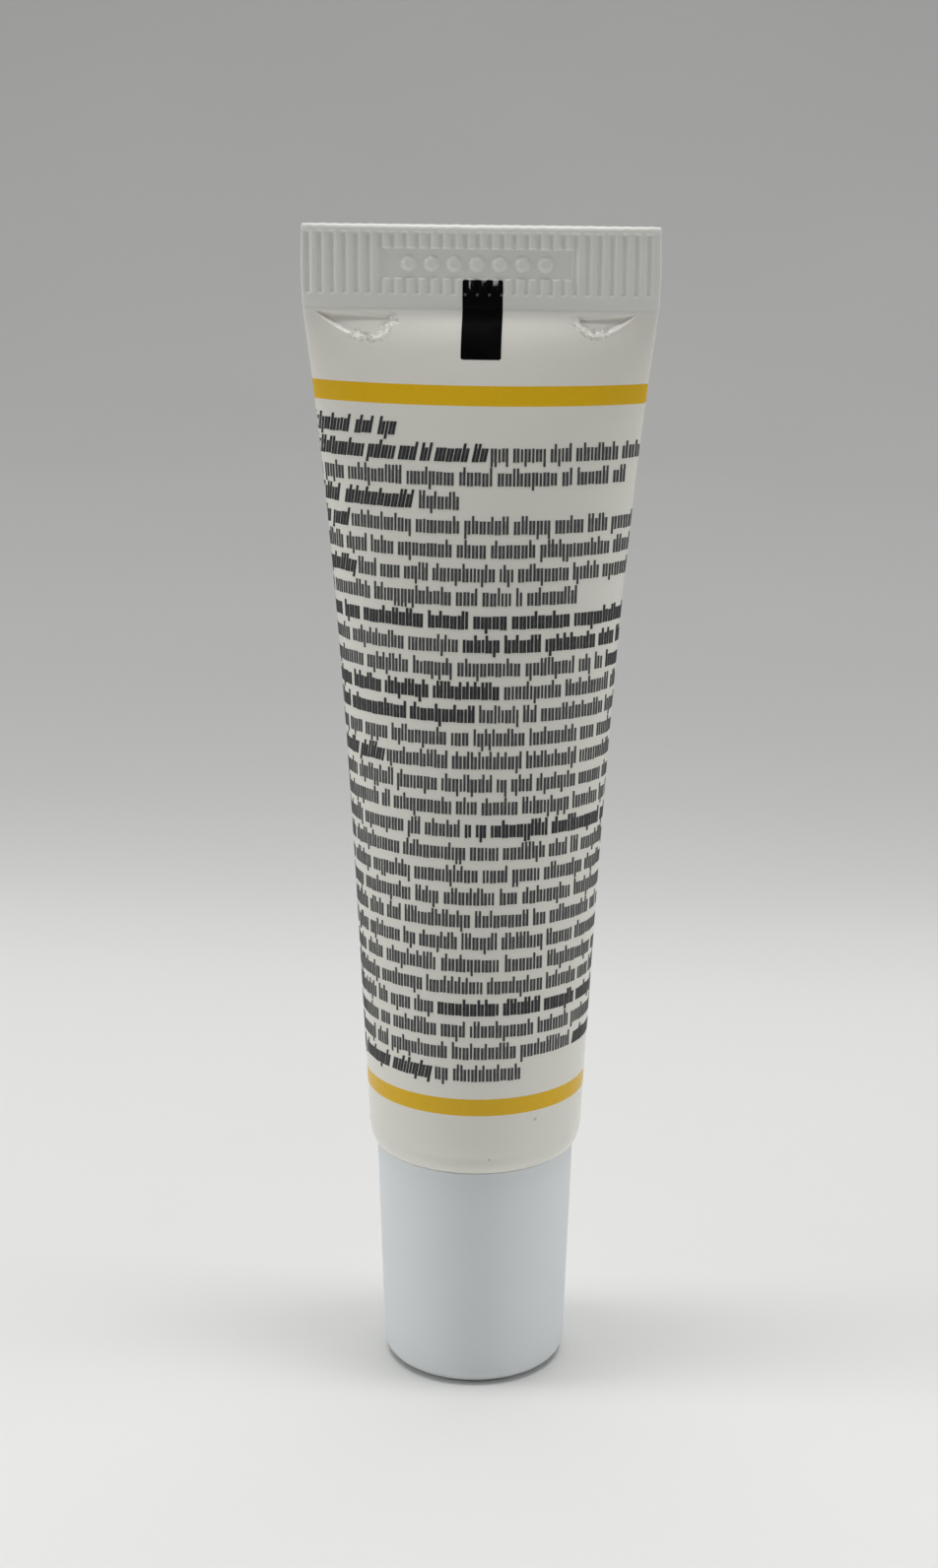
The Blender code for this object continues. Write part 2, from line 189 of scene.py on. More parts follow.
# The block of fine print: rows of plain upright strokes, with grey between some of them
PRINT_SEED = 29
ROW_COUNT = 29
ROW_FIRST_Z = 85.65 * MM
ROW_PITCH = 1.988 * MM
ROW_LEFT = -16.2 * MM
ROW_RIGHT = 14.4 * MM
ROW_BODY = 1.1 * MM
ROW_RISE = 0.4 * MM
ROW_DROP = 0.38 * MM
ROW_SLANT = 0.2
ROW_JITTER = 0.04 * MM
STROKE_WIDTH = 0.19 * MM
HEAVY_STROKE_WIDTH = 0.235 * MM
SIGN_INNER_PITCH = 0.33 * MM
SIGN_SPACE = 0.12 * MM
WORD_SPACE = 0.4 * MM
SIGN_STROKES = (1, 2, 3)
SIGN_STROKE_SHARES = (0.24, 0.68, 0.08)
WORD_SIGNS = (2, 11)
RISE_SHARE = 0.28
DROP_SHARE = 0.07

# The head, the seals and the cap
NECK_RIM_Z = HEAD_LOW[2]
SHOULDER_TOP_Z = HEAD_HIGH[2]
SHOULDER_RADIUS = HEAD_HIGH[0]
SHOULDER_THICKNESS = 1.2 * MM
SHOULDER_FUNNEL = 1.6 * MM
NECK_RADIUS = FOIL_HIGH[0]
NECK_WALL = 1.2 * MM
NECK_EDGE = 0.3 * MM
NECK_ROOT = 0.25 * MM
ORIFICE_RADIUS = 1.5 * MM
ORIFICE_PLATE = 1.0 * MM
THREAD_LEAD = 3.0 * MM
THREAD_BEAD_RADIUS = 0.6 * MM
THREAD_CREST = 0.12 * MM
THREAD_TURNS = 1.5
THREAD_FADE_SHARE = 0.06
THREAD_STEP = 0.12 * MM
NECK_THREAD_Z = NECK_RIM_Z + 1.0 * MM
CAP_THREAD_Z = NECK_THREAD_Z + THREAD_LEAD / 2.0
CAP_HEIGHT = CAP_HIGH[2]
CAP_RIM_RADIUS = CAP_HIGH[0]
CAP_DRAFT = 0.6 * MM
CAP_WALL = 1.0 * MM
CAP_RIM_EDGE = 0.14 * MM
CAP_RIM_DROP = 0.28 * MM
CAP_END_THICKNESS = 1.2 * MM
CAP_END_ROUNDING = 1.5 * MM
CORE_BORE_RADIUS = LINER_HIGH[0] + FIT_GAP
CORE_WALL = 0.9 * MM
CORE_DROP = 0.5 * MM
CORE_WEB = 1.0 * MM
LINER_SEAT_Z = LINER_LOW[2] - FIT_GAP
LINER_EDGE = 0.12 * MM
LINER_DENT = 0.06 * MM
FOIL_EDGE = 0.05 * MM
FOIL_EMBOSS = 0.03 * MM

# Counts that set how fine the meshes are
SLEEVE_POINTS = 760
POINT_CROWDING = 0.4
FINE_RING_STEP = 0.08 * MM
SHOULDER_RING_STEP = 0.4 * MM
BODY_RING_STEP = 1.5 * MM
POCKET_LENGTH = 3.0 * MM
SHOULDER_LENGTH = 9.0 * MM
FOOT_RINGS = 18
TOP_RINGS = 7
INNER_RINGS = 16
MARK_COLUMNS = 60
MARK_ROWS = 110
GIRTH_SAMPLES = 721
HEIGHT_DIGITS = 6
TURNED_STEPS = 192
ARC_STEPS = 6
CAP_SIDE_STEPS = 8
FOIL_RINGS = 6
SHARP_ANGLE = math.radians(42.0)

# The surfaces: shares between which soft clouds run, and what the bumps and marks measure
CLOUD_SHARES = (0.3, 0.7)
ROUGHNESS_SPREAD = 0.04
PALE_DROP = 0.7 * MM
CRIMP_DULLNESS = 0.25
SLEEK_SHARE = 0.6
SPOT_FADE_SHARE = 1.6
FILM_SCATTER = 0.5 * MM
FILM_GRAIN = 0.003 * MM
GRAIN_HEIGHT = 0.03 * MM
BUMP_HEIGHT = 0.05 * MM
CREASE_HEIGHT = 0.1 * MM
HALF_PITCH_SHARE = 0.5
CROWN_SHARES = (0.2, 0.42)
VALLEY_SHARES = (0.05, 0.14)
RUBBED_SHARES = (0.12, 0.42)
STREAK_STRETCH = (1.0, 1.0, 0.3)
DOT_STRENGTH_SHARE = 0.22
FOAM_SHARES = (0.1, 0.7)

# Colours, most of them pairs between which soft clouds run
WARM_FILM = ((0.815, 0.795, 0.73), (0.79, 0.775, 0.715))
PALE_FILM = ((0.79, 0.79, 0.755), (0.765, 0.765, 0.735))
SPECK_BROWN = (0.5, 0.48, 0.43)
YELLOW_INK = ((0.79, 0.485, 0.012), (0.775, 0.47, 0.010))
BLACK_INK = ((0.002, 0.002, 0.0025), (0.004, 0.004, 0.0045))
# The grey of rubbed-off ink, also used for the painted highlight dots at the grooves' feet
WORN_AND_GLINT_GREY = (0.5, 0.5, 0.49)
CAP_WHITE = ((0.79, 0.82, 0.84), (0.775, 0.805, 0.83))
HEAD_WHITE = ((0.82, 0.81, 0.78), (0.8, 0.79, 0.76))
FOIL_GREY = ((0.78, 0.78, 0.8), (0.7, 0.7, 0.72))
FOAM_WHITE = ((0.82, 0.82, 0.8), (0.74, 0.74, 0.72))
SERUM_CREAM = ((0.87, 0.79, 0.6), (0.84, 0.75, 0.55))
MIDDLE_GREY = (0.5, 0.5, 0.5)
ROOM_COLOUR = (1.0, 1.0, 0.985, 1.0)

# The pieces of the print, each with its ink's name and two colours
PRINT_PIECES = {
    "print_greys": ("grey_ink", (0.30, 0.30, 0.29), (0.36, 0.36, 0.35)),
    "print_heavy_greys": ("heavy_grey_ink", (0.15, 0.15, 0.15), (0.19, 0.19, 0.19)),
    "print_strokes": ("dark_ink", (0.05, 0.05, 0.054), (0.08, 0.08, 0.084)),
    "print_heavy_strokes": ("heavy_dark_ink", (0.03, 0.03, 0.034), (0.05, 0.05, 0.054)),
}

# The paper's colour darkens beyond the tube as painted shade, for the lamp light that falls off away from
# the tube: (distance share, colour share)
FLOOR_COLOUR = (0.78, 0.785, 0.77)
FLOOR_HALF_WIDTH = 1.4
FLOOR_FRONT = -1.2
BEND_START = 0.45
BEND_RADIUS = 0.4
BACKDROP_TOP = 1.2
BEND_STEPS = 32
GRADED_NEAR = -0.05
GRADED_FAR = 0.75
PAINTED_SHADE_SHARES = ((0.0, 1.0), (0.035, 0.99), (0.08, 0.93), (0.16, 0.9), (0.2, 0.82), (0.23, 0.72),
                 (0.26, 0.65), (0.29, 0.605), (0.36, 0.56), (0.46, 0.543), (0.6, 0.532),
                 (0.8, 0.512), (1.0, 0.487))

# The lamps overhead, each with its way back, size and power, and a panel on each side, each with
# its way across, size and power
LAMP_HEIGHT = 1.6
LAMPS = {"broad_lamp": (0.33, (1.6, 1.6), 13.8), "strip_lamp": (-0.06, (1.2, 0.3), 11.4)}
PANEL_FORWARD = 0.04
PANEL_HEIGHT = 0.28
PANEL_SPREAD = math.radians(90.0)
PANELS = {"left_panel": (-1.0, (0.32, 0.32), 0.584), "right_panel": (1.0, (0.6, 0.5), 0.515)}
ROOM_STRENGTH = 0.13

# The camera, found from the edges and bands in the photograph
CAMERA_DISTANCE = 242.3 * MM
CAMERA_HEIGHT = 126.5 * MM
CAMERA_SIDE = -0.72 * MM
CAMERA_TURN = math.radians(4.1)
CAMERA_PITCH = math.radians(16.58)
CAMERA_ROLL = math.radians(0.3)
CAMERA_LENS = 66.1
SENSOR_WIDTH = 36.0
CAMERA_NEAR = 10.0 * MM


def ramp(value, low, high):
    """Rise smoothly from 0 at low to 1 at high."""
    share = np.clip((value - low) / (high - low), 0.0, 1.0)
    return share * share * (3.0 - 2.0 * share)


def ripple(x, z, wave, seed):
    """A gentle uneven field between about -1 and 1, with features as long as wave."""
    total = 0.0
    for layer in range(RIPPLE_LAYERS):
        angle = seed + RIPPLE_TURN * layer
        step = FULL_TURN / (wave * (RIPPLE_FIRST_SHARE + RIPPLE_ADDED_SHARE * layer))
        along = x * math.cos(angle) + z * math.sin(angle)
        total = total + np.sin(step * along + seed * (layer + 1.0))
    return total / RIPPLE_LAYERS


# The shape of the sleeve
def base_outline(turn, z):
    """The plain sleeve's points; turn is 0 at the front's middle and grows towards +X."""
    turn, z = np.broadcast_arrays(turn, z)
    share = np.clip((z - SLEEVE_FOOT_Z) / (CRIMP_FOOT_Z - SLEEVE_FOOT_Z), 0.0, 1.0)
    flare = WIDTH_STEADY_SHARE * share + (1.0 - WIDTH_STEADY_SHARE) * share ** WIDTH_FLARE_POWER
    crimp_share = np.clip((z - CRIMP_FOOT_Z) / CRIMP_HEIGHT, 0.0, 1.0)
    width = SLEEVE_RADIUS + (CRIMP_HALF_WIDTH - SLEEVE_RADIUS) * flare
    width = width + CRIMP_BOW * np.sin(math.pi * crimp_share)
    below = (1.0 - share) * (1.0 - np.exp(-((1.0 - share) / DEPTH_START_SHARE) ** 2))
    closing = np.minimum(below ** DEPTH_POWER * (1.0 + DEPTH_LEAN_SHARE * share), 1.0)
    depth = CRIMP_HALF_DEPTH + (SLEEVE_HALF_DEPTH - CRIMP_HALF_DEPTH) * closing
    rise = np.abs(np.cos(turn))
    lens = 1.0 + share ** LENS_POWER
    blunt = 1.0 - (1.0 - EDGE_BLUNT_SHARE) * share ** LENS_POWER
    out = (depth - CRIMP_HALF_DEPTH) * rise ** lens + CRIMP_HALF_DEPTH * rise ** blunt
    return np.stack([width * np.sin(turn), -np.sign(np.cos(turn)) * out, z], axis=-1)


def outward(turn, z):
    """Unit normals of the plain sleeve."""
    along = base_outline(turn + LITTLE_TURN, z) - base_outline(turn - LITTLE_TURN, z)
    upward = base_outline(turn, z + LITTLE_RISE) - base_outline(turn, z - LITTLE_RISE)
    normal = np.cross(along, upward)
    return normal / np.maximum(np.linalg.norm(normal, axis=-1, keepdims=True), LEAST_NORMAL)


def groove_depth(x, z):
    """How deep the jaws' upright grooves are at a place on the crimp."""
    index = np.clip(np.round((x - RIB_SHIFT) / RIB_PITCH), -RIBS_EACH_SIDE, RIBS_EACH_SIDE)
    off_middle = x - RIB_SHIFT - index * RIB_PITCH
    low = CRIMP_FOOT_Z + RIB_FOOT_LAND
    high = SLEEVE_TOP_Z - RIB_TOP_LAND
    across = np.clip(np.abs(off_middle) / GROOVE_HALF_WIDTH, 0.0, 1.0)
    ends = ramp(z, low, low + GROOVE_END_LENGTH) * (1.0 - ramp(z, high - GROOVE_END_LENGTH, high))
    foot_reach = np.hypot(off_middle, z - low - GROOVE_FOOT_RADIUS)
    foot = GROOVE_FOOT_DIMPLE * (1.0 - ramp(foot_reach, 0.0, GROOVE_FOOT_RADIUS))
    return GROOVE_DEPTH * ends * np.cos(QUARTER_TURN * across) ** 2 + foot


def window_inside(x, z):
    """How far a place lies inside the edge of the sunk field, negative outside it."""
    low = CRIMP_FOOT_Z + WINDOW_FOOT_LAND
    from_ends = np.minimum(z - low, low + WINDOW_HEIGHT - z)
    return np.minimum(WINDOW_HALF_WIDTH - np.abs(x - WINDOW_MIDDLE), from_ends)


def pip_height(x, z):
    """How far the row of round pips stands up from the floor of the sunk field."""
    middle = CRIMP_FOOT_Z + WINDOW_FOOT_LAND + WINDOW_HEIGHT / 2.0
    last = (PIP_COUNT - 1) / 2.0
    index = np.clip(np.round((x - WINDOW_MIDDLE) / PIP_PITCH), -last, last)
    reach = np.hypot(x - WINDOW_MIDDLE - index * PIP_PITCH, z - middle) / PIP_RADIUS
    return PIP_RISE * (1.0 - ramp(reach, PIP_FLAT_SHARE, 1.0))


def crimp_relief(x, z, front):
    """Grooves on both faces of the crimp, a lip along its top, and the sunk field in front."""
    window = ramp(window_inside(x, z), 0.0, WINDOW_EDGE) * front
    uneven = LIP_FLANK * ripple(x, z * 0.0, TOP_WAVE_LENGTH, seed=4.1)
    lip_foot = SLEEVE_TOP_Z - LIP_HEIGHT + uneven / 2.0
    lip = LIP_RISE * ramp(z, lip_foot - LIP_FLANK / 2.0, lip_foot + LIP_FLANK / 2.0)
    sunk = np.maximum(groove_depth(x, z), WINDOW_DEPTH * window)
    return lip + pip_height(x, z) * window - sunk


def pocket_lower_edge(along):
    """How far down a pocket's edge lies, as a share, from its outer tip at 0 to its end at 1."""
    rising = np.sin(QUARTER_TURN * np.clip(along / POCKET_LOWEST_SHARE, 0.0, 1.0))
    past = np.clip((along - POCKET_LOWEST_SHARE) / (1.0 - POCKET_LOWEST_SHARE), 0.0, 1.0)
    return np.where(along < POCKET_LOWEST_SHARE, rising, np.sqrt(1.0 - past ** 2))


def pocket_relief(x, y, z):
    """The pressed-in pockets below the crimp's corners, each with a crisp lower lip."""
    spare = np.maximum(np.abs(y) - CRIMP_HALF_DEPTH, 0.0)
    edge = np.clip(POCKET_EDGE_SHARE * spare, POCKET_LEAST_EDGE, POCKET_MOST_EDGE)
    shallow, deep = POCKET_DEPTH_SHARES
    side = np.where(y < 0.0, 1.0, -1.0)
    lean = np.arctan(DEPTH_POWER * spare / np.maximum(CRIMP_FOOT_Z - z, POCKET_LEAST_EDGE))
    bevel_slope = np.tan(np.maximum(POCKET_BEVEL_TILT - lean, 0.0)) / np.cos(lean)
    total = np.zeros_like(z)
    for number, (tip, end, drop) in enumerate(POCKETS):
        along = (x * side - tip) / (end - tip)
        crinkle = ripple(x, z, POCKET_CRINKLE_LENGTH, seed=0.7 + number)
        land = POCKET_OUTER_LAND + (POCKET_INNER_LAND - POCKET_OUTER_LAND) * np.clip(along, 0.0, 1.0)
        down = CRIMP_FOOT_Z - land - z
        crumpled = ramp(along, *POCKET_CRUMPLE_SHARES)
        inside = (drop - land) * pocket_lower_edge(along) - down + POCKET_CRINKLE * crumpled * crinkle
        within = ramp(along, 0.0, POCKET_TIP_SHARE) * (1.0 - ramp(along, POCKET_END_SHARE, 1.0))
        below = ramp(down, 0.0, POCKET_TOP_EDGE) * within
        press_share = shallow + (deep - shallow) * np.clip(down / (drop - land), 0.0, 1.0)
        bevel = bevel_slope * np.clip(inside, 0.0, POCKET_BEVEL)
        beyond = np.maximum(press_share * spare - bevel, 0.0)
        pressed = bevel + beyond * np.clip((inside - POCKET_BEVEL) / edge, 0.0, 1.0)
        past_lip = ramp(inside, POCKET_BEVEL, POCKET_BEVEL + edge)
        lip = ramp(inside, -POCKET_LIP_WIDTH, 0.0) * (1.0 - past_lip)
        near_edge = 1.0 - ramp(np.abs(inside - edge / 2.0), 0.0, POCKET_CRINKLE_REACH)
        ruffle = POCKET_CRINKLE * crinkle * crumpled * near_edge
        under_top = 1.0 - ramp(down, 0.0, 2.0 * POCKET_TOP_EDGE)
        step = POCKET_TOP_STEP * ramp(inside, 0.0, edge) * under_top
        total = total + (POCKET_LIP * lip + ruffle + step - pressed) * below
    return total


def relief(place):
    """How far the finished skin lies outside the plain sleeve."""
    x, y, z = place[..., 0], place[..., 1], place[..., 2]
    on_crimp = ramp(z, CRIMP_FOOT_Z, CRIMP_FOOT_Z + CRIMP_START)
    crease_z = CRIMP_FOOT_Z + CREASE_RISE
    crease = CREASE_DEPTH * (1.0 - ramp(np.abs(z - crease_z), 0.0, CREASE_HALF_HEIGHT))
    near = ramp(z, CRIMP_FOOT_Z - FILM_RIPPLE_REACH, CRIMP_FOOT_Z - FILM_RIPPLE_LAND)
    waves = FILM_WAVE * ripple(x, z, FILM_WAVE_LENGTH, seed=0.3)
    waves = waves + FILM_RIPPLE * near * ripple(x, z, FILM_RIPPLE_LENGTH, seed=1.9)
    waves = np.minimum(waves * ramp(z, SLEEVE_FOOT_Z, SLEEVE_FOOT_Z + FILM_STILL_LENGTH), 0.0)
    on_body = (waves + pocket_relief(x, y, z)) * (z < CRIMP_FOOT_Z)
    return on_crimp * crimp_relief(x, z, y < 0.0) + (1.0 - on_crimp) * on_body - crease


def skin(turn, z, lift=0.0):
    """Points of the finished outer skin, moved outwards by lift."""
    place = base_outline(turn, z)
    return place + outward(turn, z) * (relief(place) + lift)[..., None]


def turns_at(girths, heights):
    """The turns at which the way round the sleeve from the front's middle equals each girth."""
    turns = np.linspace(-math.pi, math.pi, GIRTH_SAMPLES)
    found = np.empty(len(girths))
    rounded = np.round(heights, HEIGHT_DIGITS)
    for height in np.unique(rounded):
        points = base_outline(turns, np.full(GIRTH_SAMPLES, height))
        steps = np.linalg.norm(np.diff(points, axis=0), axis=1)
        way = np.concatenate([[0.0], np.cumsum(steps)])
        chosen = rounded == height
        found[chosen] = np.interp(girths[chosen], way - way[GIRTH_SAMPLES // 2], turns)
    return found


# Building meshes
def mesh_from(name, points, faces, smooth=True):
    mesh = bpy.data.meshes.new(name)
    mesh.from_pydata([tuple(point) for point in points], [], faces)
    shape = bmesh.new()
    shape.from_mesh(mesh)
    bmesh.ops.recalc_face_normals(shape, faces=shape.faces)
    shape.to_mesh(mesh)
    shape.free()
    if smooth:
        mesh.shade_smooth()
        mesh.set_sharp_from_angle(angle=SHARP_ANGLE)
    return mesh


def new_object(name, data):
    thing = bpy.data.objects.new(name, data)
    bpy.context.scene.collection.objects.link(thing)
    return thing


def add_piece(name, mesh, body, materials):
    """A visible piece that rides on a body."""
    thing = new_object(name, mesh)
    for material in materials:
        mesh.materials.append(material)
    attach(thing, body)
    return thing


def strip_faces(lower, upper):
    """Faces between two rings of point numbers; a ring of one point is a pole."""
    count = max(len(lower), len(upper))
    faces = []
    for index in range(count):
        after = (index + 1) % count
        face = [lower[index % len(lower)], lower[after % len(lower)],
                upper[after % len(upper)], upper[index % len(upper)]]
        faces.append(tuple(dict.fromkeys(face)))
    return faces


def steps_between(low, high, step):
    """Even steps from low to high, each no longer than step."""
    count = max(int(math.ceil((high - low) / step)), 1)
    return [low + (high - low) * index / count for index in range(count + 1)]


def sleeve_heights():
    """Heights of the outer rings up to the crimp's rounded edge, one at each band edge."""
    stops = (SLEEVE_FOOT_Z - FOOT_DROP + FOOT_EDGE_HEIGHT, *BAND_LOWER, CRIMP_FOOT_Z - SHOULDER_LENGTH,
             *BAND_UPPER, CRIMP_FOOT_Z - POCKET_LENGTH, CRIMP_FOOT_Z, SLEEVE_TOP_Z - TOP_ROUNDING)
    ring_steps = [BODY_RING_STEP] * 3 + [SHOULDER_RING_STEP] * 3 + [FINE_RING_STEP] * 2
    heights = []
    for start, end, step in zip(stops, stops[1:], ring_steps):
        heights += steps_between(start, end, step)[:-1]
    return heights


def level(height):
    """One height for every point of a ring of the sleeve."""
    return np.full(SLEEVE_POINTS, height)


def inner_rings(turns):
    """Rings of the inner wall, from the crimp's seal down to the foot."""
    rings = []
    low = SLEEVE_FOOT_Z + 2.0 * SLEEVE_WALL
    for height in np.linspace(CRIMP_FOOT_Z - CRIMP_SEAL_DEPTH, low, INNER_RINGS):
        plain = base_outline(turns, level(height))
        rings.append(plain - SLEEVE_WALL * outward(turns, level(height)))
    return rings


def foot_rings(turns):
    """Rings of the turned-in foot, from its floor round its lip to the outer skin."""
    hole = SLEEVE_RADIUS - SLEEVE_WALL - FOOT_LIP
    floor = SLEEVE_FOOT_Z + SLEEVE_WALL
    foot = SLEEVE_FOOT_Z - FOOT_DROP
    profile = [(SLEEVE_RADIUS - 2.0 * SLEEVE_WALL, floor), (hole + LIP_EDGE, floor)]
    profile += [(hole, floor - LIP_EDGE), (hole, foot + LIP_EDGE), (hole + LIP_EDGE, foot)]
    for index in range(FOOT_RINGS):
        angle = QUARTER_TURN * (1.0 - index / FOOT_RINGS)
        above = FOOT_EDGE_HEIGHT * (1.0 - math.sin(angle))
        bead = FOOT_BEAD * math.exp(-((above / FOOT_BEAD_HEIGHT) ** 2))
        radius = SLEEVE_RADIUS - FOOT_EDGE_DEPTH * (1.0 - math.cos(angle)) + bead
        profile.append((radius, foot + above))
    rings = []
    for radius, height in profile:
        deep = min(radius, SLEEVE_HALF_DEPTH)
        rings.append(np.stack([radius * np.sin(turns), -deep * np.cos(turns), level(height)], axis=-1))
    return rings


def top_rings(turns):
    """Rings of the crimp's rounded and slightly uneven top edge."""
    way = CRIMP_HALF_WIDTH * np.sin(turns)
    uneven = ripple(way, 0.0, TOP_WAVE_LENGTH, seed=2.2) + np.cos(FULL_TURN * way / RIB_PITCH)
    wave = TOP_WAVE * (uneven / 2.0 - 1.0)
    nibble = (1.0 + ripple(way, 0.0, TOP_NIBBLE_LENGTH, seed=5.3)) / 2.0
    inset = TOP_SIDE_ROUNDING + (TOP_ROUNDING - TOP_SIDE_ROUNDING) * np.sqrt(np.abs(np.cos(turns)))
    inset = inset * (1.0 - TOP_NIBBLE_SHARE * nibble)
    rings = []
    for index in range(TOP_RINGS + 1):
        angle = QUARTER_TURN * index / TOP_RINGS
        height = SLEEVE_TOP_Z - TOP_ROUNDING + TOP_ROUNDING * math.sin(angle)
        ring = skin(turns, level(height), inset * (math.cos(angle) - 1.0))
        ring[:, 2] += wave * math.sin(angle)
        rings.append(ring)
    return rings


def end_faces(first):
    """Faces that close a flat ring from its front half straight across to its back half."""
    faces = []
    half = SLEEVE_POINTS // 2
    for index in range(SLEEVE_POINTS // 4, 3 * SLEEVE_POINTS // 4):
        across = (half - index) % SLEEVE_POINTS
        after = (half - index - 1) % SLEEVE_POINTS
        face = dict.fromkeys((first + index, first + index + 1, first + after, first + across))
        if len(face) > 2:
            faces.append(tuple(face))
    return faces


def sleeve_skin(film, ink):
    """The sleeve: an inner wall, a turned-in foot, and an outer skin up to the crimp's edge."""
    even = -math.pi + FULL_TURN * np.arange(SLEEVE_POINTS) / SLEEVE_POINTS
    turns = even - POINT_CROWDING * np.sin(2.0 * even) / 2.0
    rings = inner_rings(turns) + foot_rings(turns)
    first_outer = len(rings)
    heights = sleeve_heights()
    rings += [skin(turns, level(height)) for height in heights]
    rings += top_rings(turns)
    numbers = np.arange(len(rings) * SLEEVE_POINTS).reshape(-1, SLEEVE_POINTS).tolist()
    faces = []
    inks = []
    for index, (lower, upper) in enumerate(zip(numbers, numbers[1:])):
        strip = strip_faces(lower, upper)
        place = index - first_outer
        height = heights[place] if 0 <= place < len(heights) else 0.0
        inked = any(low <= height < high for low, high in (BAND_LOWER, BAND_UPPER))
        faces += strip
        inks += [int(inked)] * len(strip)
    for ring in (numbers[0], numbers[-1]):
        closing = end_faces(ring[0])
        faces += closing
        inks += [0] * len(closing)
    mesh = mesh_from("sleeve_skin", np.concatenate(rings), faces)
    mesh.polygons.foreach_set("material_index", inks)
    thing = add_piece("sleeve_skin", mesh, "tube", [film, ink])
    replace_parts(thing, "tube_sleeve")


# The print on the sleeve
def film_points(girths, heights, lift):
    """Points just above the skin, and after them the points under it."""
    turns = turns_at(girths, heights)
    return np.concatenate([skin(turns, heights, lift), skin(turns, heights, -PRINT_SINK)])


def sheet_faces(first, wide, tall, under):
    """Faces of a thin closed sheet: wide by tall cells above, the same below, and the rim."""
    row_step = wide + 1
    faces = []
    for row in range(tall):
        for column in range(wide):
            at = first + row * row_step + column
            after = at + row_step
            faces.append((at, at + 1, after + 1, after))
            faces.append((under + at, under + after, under + after + 1, under + at + 1))
    rim = [first + column for column in range(wide)]
    rim += [first + row * row_step + wide for row in range(tall)]
    rim += [first + tall * row_step + column for column in range(wide, 0, -1)]
    rim += [first + row * row_step for row in range(tall, 0, -1)]
    for one, two in zip(rim, rim[1:] + rim[:1]):
        faces.append((one, under + one, under + two, two))
    return faces


def printed_strokes(name, strokes, lift, material):
    """Thin closed strokes on the skin, each given by its corners' girths and heights."""
    corners = np.array(strokes).reshape(-1, 2)
    points = film_points(corners[:, 0], corners[:, 1], lift)
    faces = []
    for first in range(0, len(corners), len(corners) // len(strokes)):
        faces += sheet_faces(first, 1, 1, len(corners))
    mesh = mesh_from(name, points, faces, smooth=False)
    add_piece(name, mesh, "tube", [material])


def black_mark(material):
    """The black oblong that the filling machine reads, printed over the crimp's foot."""
    girths = []
    heights = np.linspace(MARK_LOW_Z, MARK_HIGH_Z, MARK_ROWS + 1)
    for height in heights:
        from_end = min(height - MARK_LOW_Z, MARK_HIGH_Z - height, MARK_CORNER)
        inset = MARK_CORNER - math.sqrt(max(MARK_CORNER ** 2 - (MARK_CORNER - from_end) ** 2, 0.0))
        half = MARK_HALF_WIDTH - inset
        girths.append(np.linspace(MARK_MIDDLE - half, MARK_MIDDLE + half, MARK_COLUMNS + 1))
    girths = np.concatenate(girths)
    points = film_points(girths, np.repeat(heights, MARK_COLUMNS + 1), PRINT_LIFT)
    mesh = mesh_from("black_mark", points, sheet_faces(0, MARK_COLUMNS, MARK_ROWS, len(girths)))
    add_piece("black_mark", mesh, "tube", [material])


# Where each row ends, and which stretches of it are heavy, as shares of the full width
SHORT_ROW_SHARES = {0: 0.30, 2: 0.955, 3: 0.485, 7: 0.82, 28: 0.68}
HEAVY_STRETCH_SHARES = {
    0: (0.0, 1.0), 1: (0.0, 0.55), 3: (0.0, 0.25), 4: (0.0, 0.1), 6: (0.0, 0.17), 8: (0.0, 1.0),
    9: (0.48, 1.0), 10: (0.9, 1.0), 11: (0.0, 0.56), 12: (0.0, 0.42), 14: (0.0, 0.18),
    17: (0.5, 1.0), 25: (0.4, 0.9), 27: (0.72, 1.0), 28: (0.0, 0.3),
}
SLANTED_ROWS = (0, 1, 3, 4, 6, 14, 27, 28)


def sign_width(strokes):
    return STROKE_WIDTH + SIGN_INNER_PITCH * (strokes - 1)


def word_width(signs):
    return sum(sign_width(number) + SIGN_SPACE for number in signs) - SIGN_SPACE


def row_of_words(row, rng):
    """The words of a row, each a left end and its signs' numbers of strokes, spaced to fill it."""
    end = ROW_LEFT + (ROW_RIGHT - ROW_LEFT) * SHORT_ROW_SHARES.get(row, 1.0)
    words = []
    total = 0.0
    while True:
        drawn = rng.choice(SIGN_STROKES, rng.integers(*WORD_SIGNS), p=SIGN_STROKE_SHARES)
        signs = [int(number) for number in drawn]
        while signs and word_width(signs) > end - ROW_LEFT - total:
            signs.pop()
        if not signs:
            break
        words.append((signs, word_width(signs)))
        total += word_width(signs) + WORD_SPACE
    space = WORD_SPACE + (end - ROW_LEFT - total + WORD_SPACE) / max(len(words) - 1, 1)
    placed = []
    left = ROW_LEFT
    for signs, width in words:
        placed.append((left, signs))
        left += width + space
    return placed


def upright(left, right, low, high, base, slant):
    """Corners of an upright stroke, by girth and height, leaning about its row's base."""
    return [(girth + slant * (height - base), height)
            for height in (low, high) for girth in (left, right)]


def signs_of_word(left, signs, base, width, slant, rng):
    """Strokes of a word's signs, and the grey between the strokes of each sign."""
    strokes = []
    greys = []
    half = width / 2.0
    for number in signs:
        low = base + ROW_JITTER * rng.uniform(-1.0, 1.0)
        high = base + ROW_BODY + ROW_JITTER * rng.uniform(-1.0, 1.0)
        for index in range(number):
            middle = left + STROKE_WIDTH / 2.0 + SIGN_INNER_PITCH * index
            kind = rng.uniform()
            foot = low - ROW_DROP * (kind > 1.0 - DROP_SHARE)
            head = high + ROW_RISE * (kind < RISE_SHARE)
            strokes.append(upright(middle - half, middle + half, foot, head, base, slant))
        right = left + sign_width(number)
        if number > 1:
            greys.append(upright(left + half, right - half, low, high, base, slant))
        left = right + SIGN_SPACE
    return strokes, greys


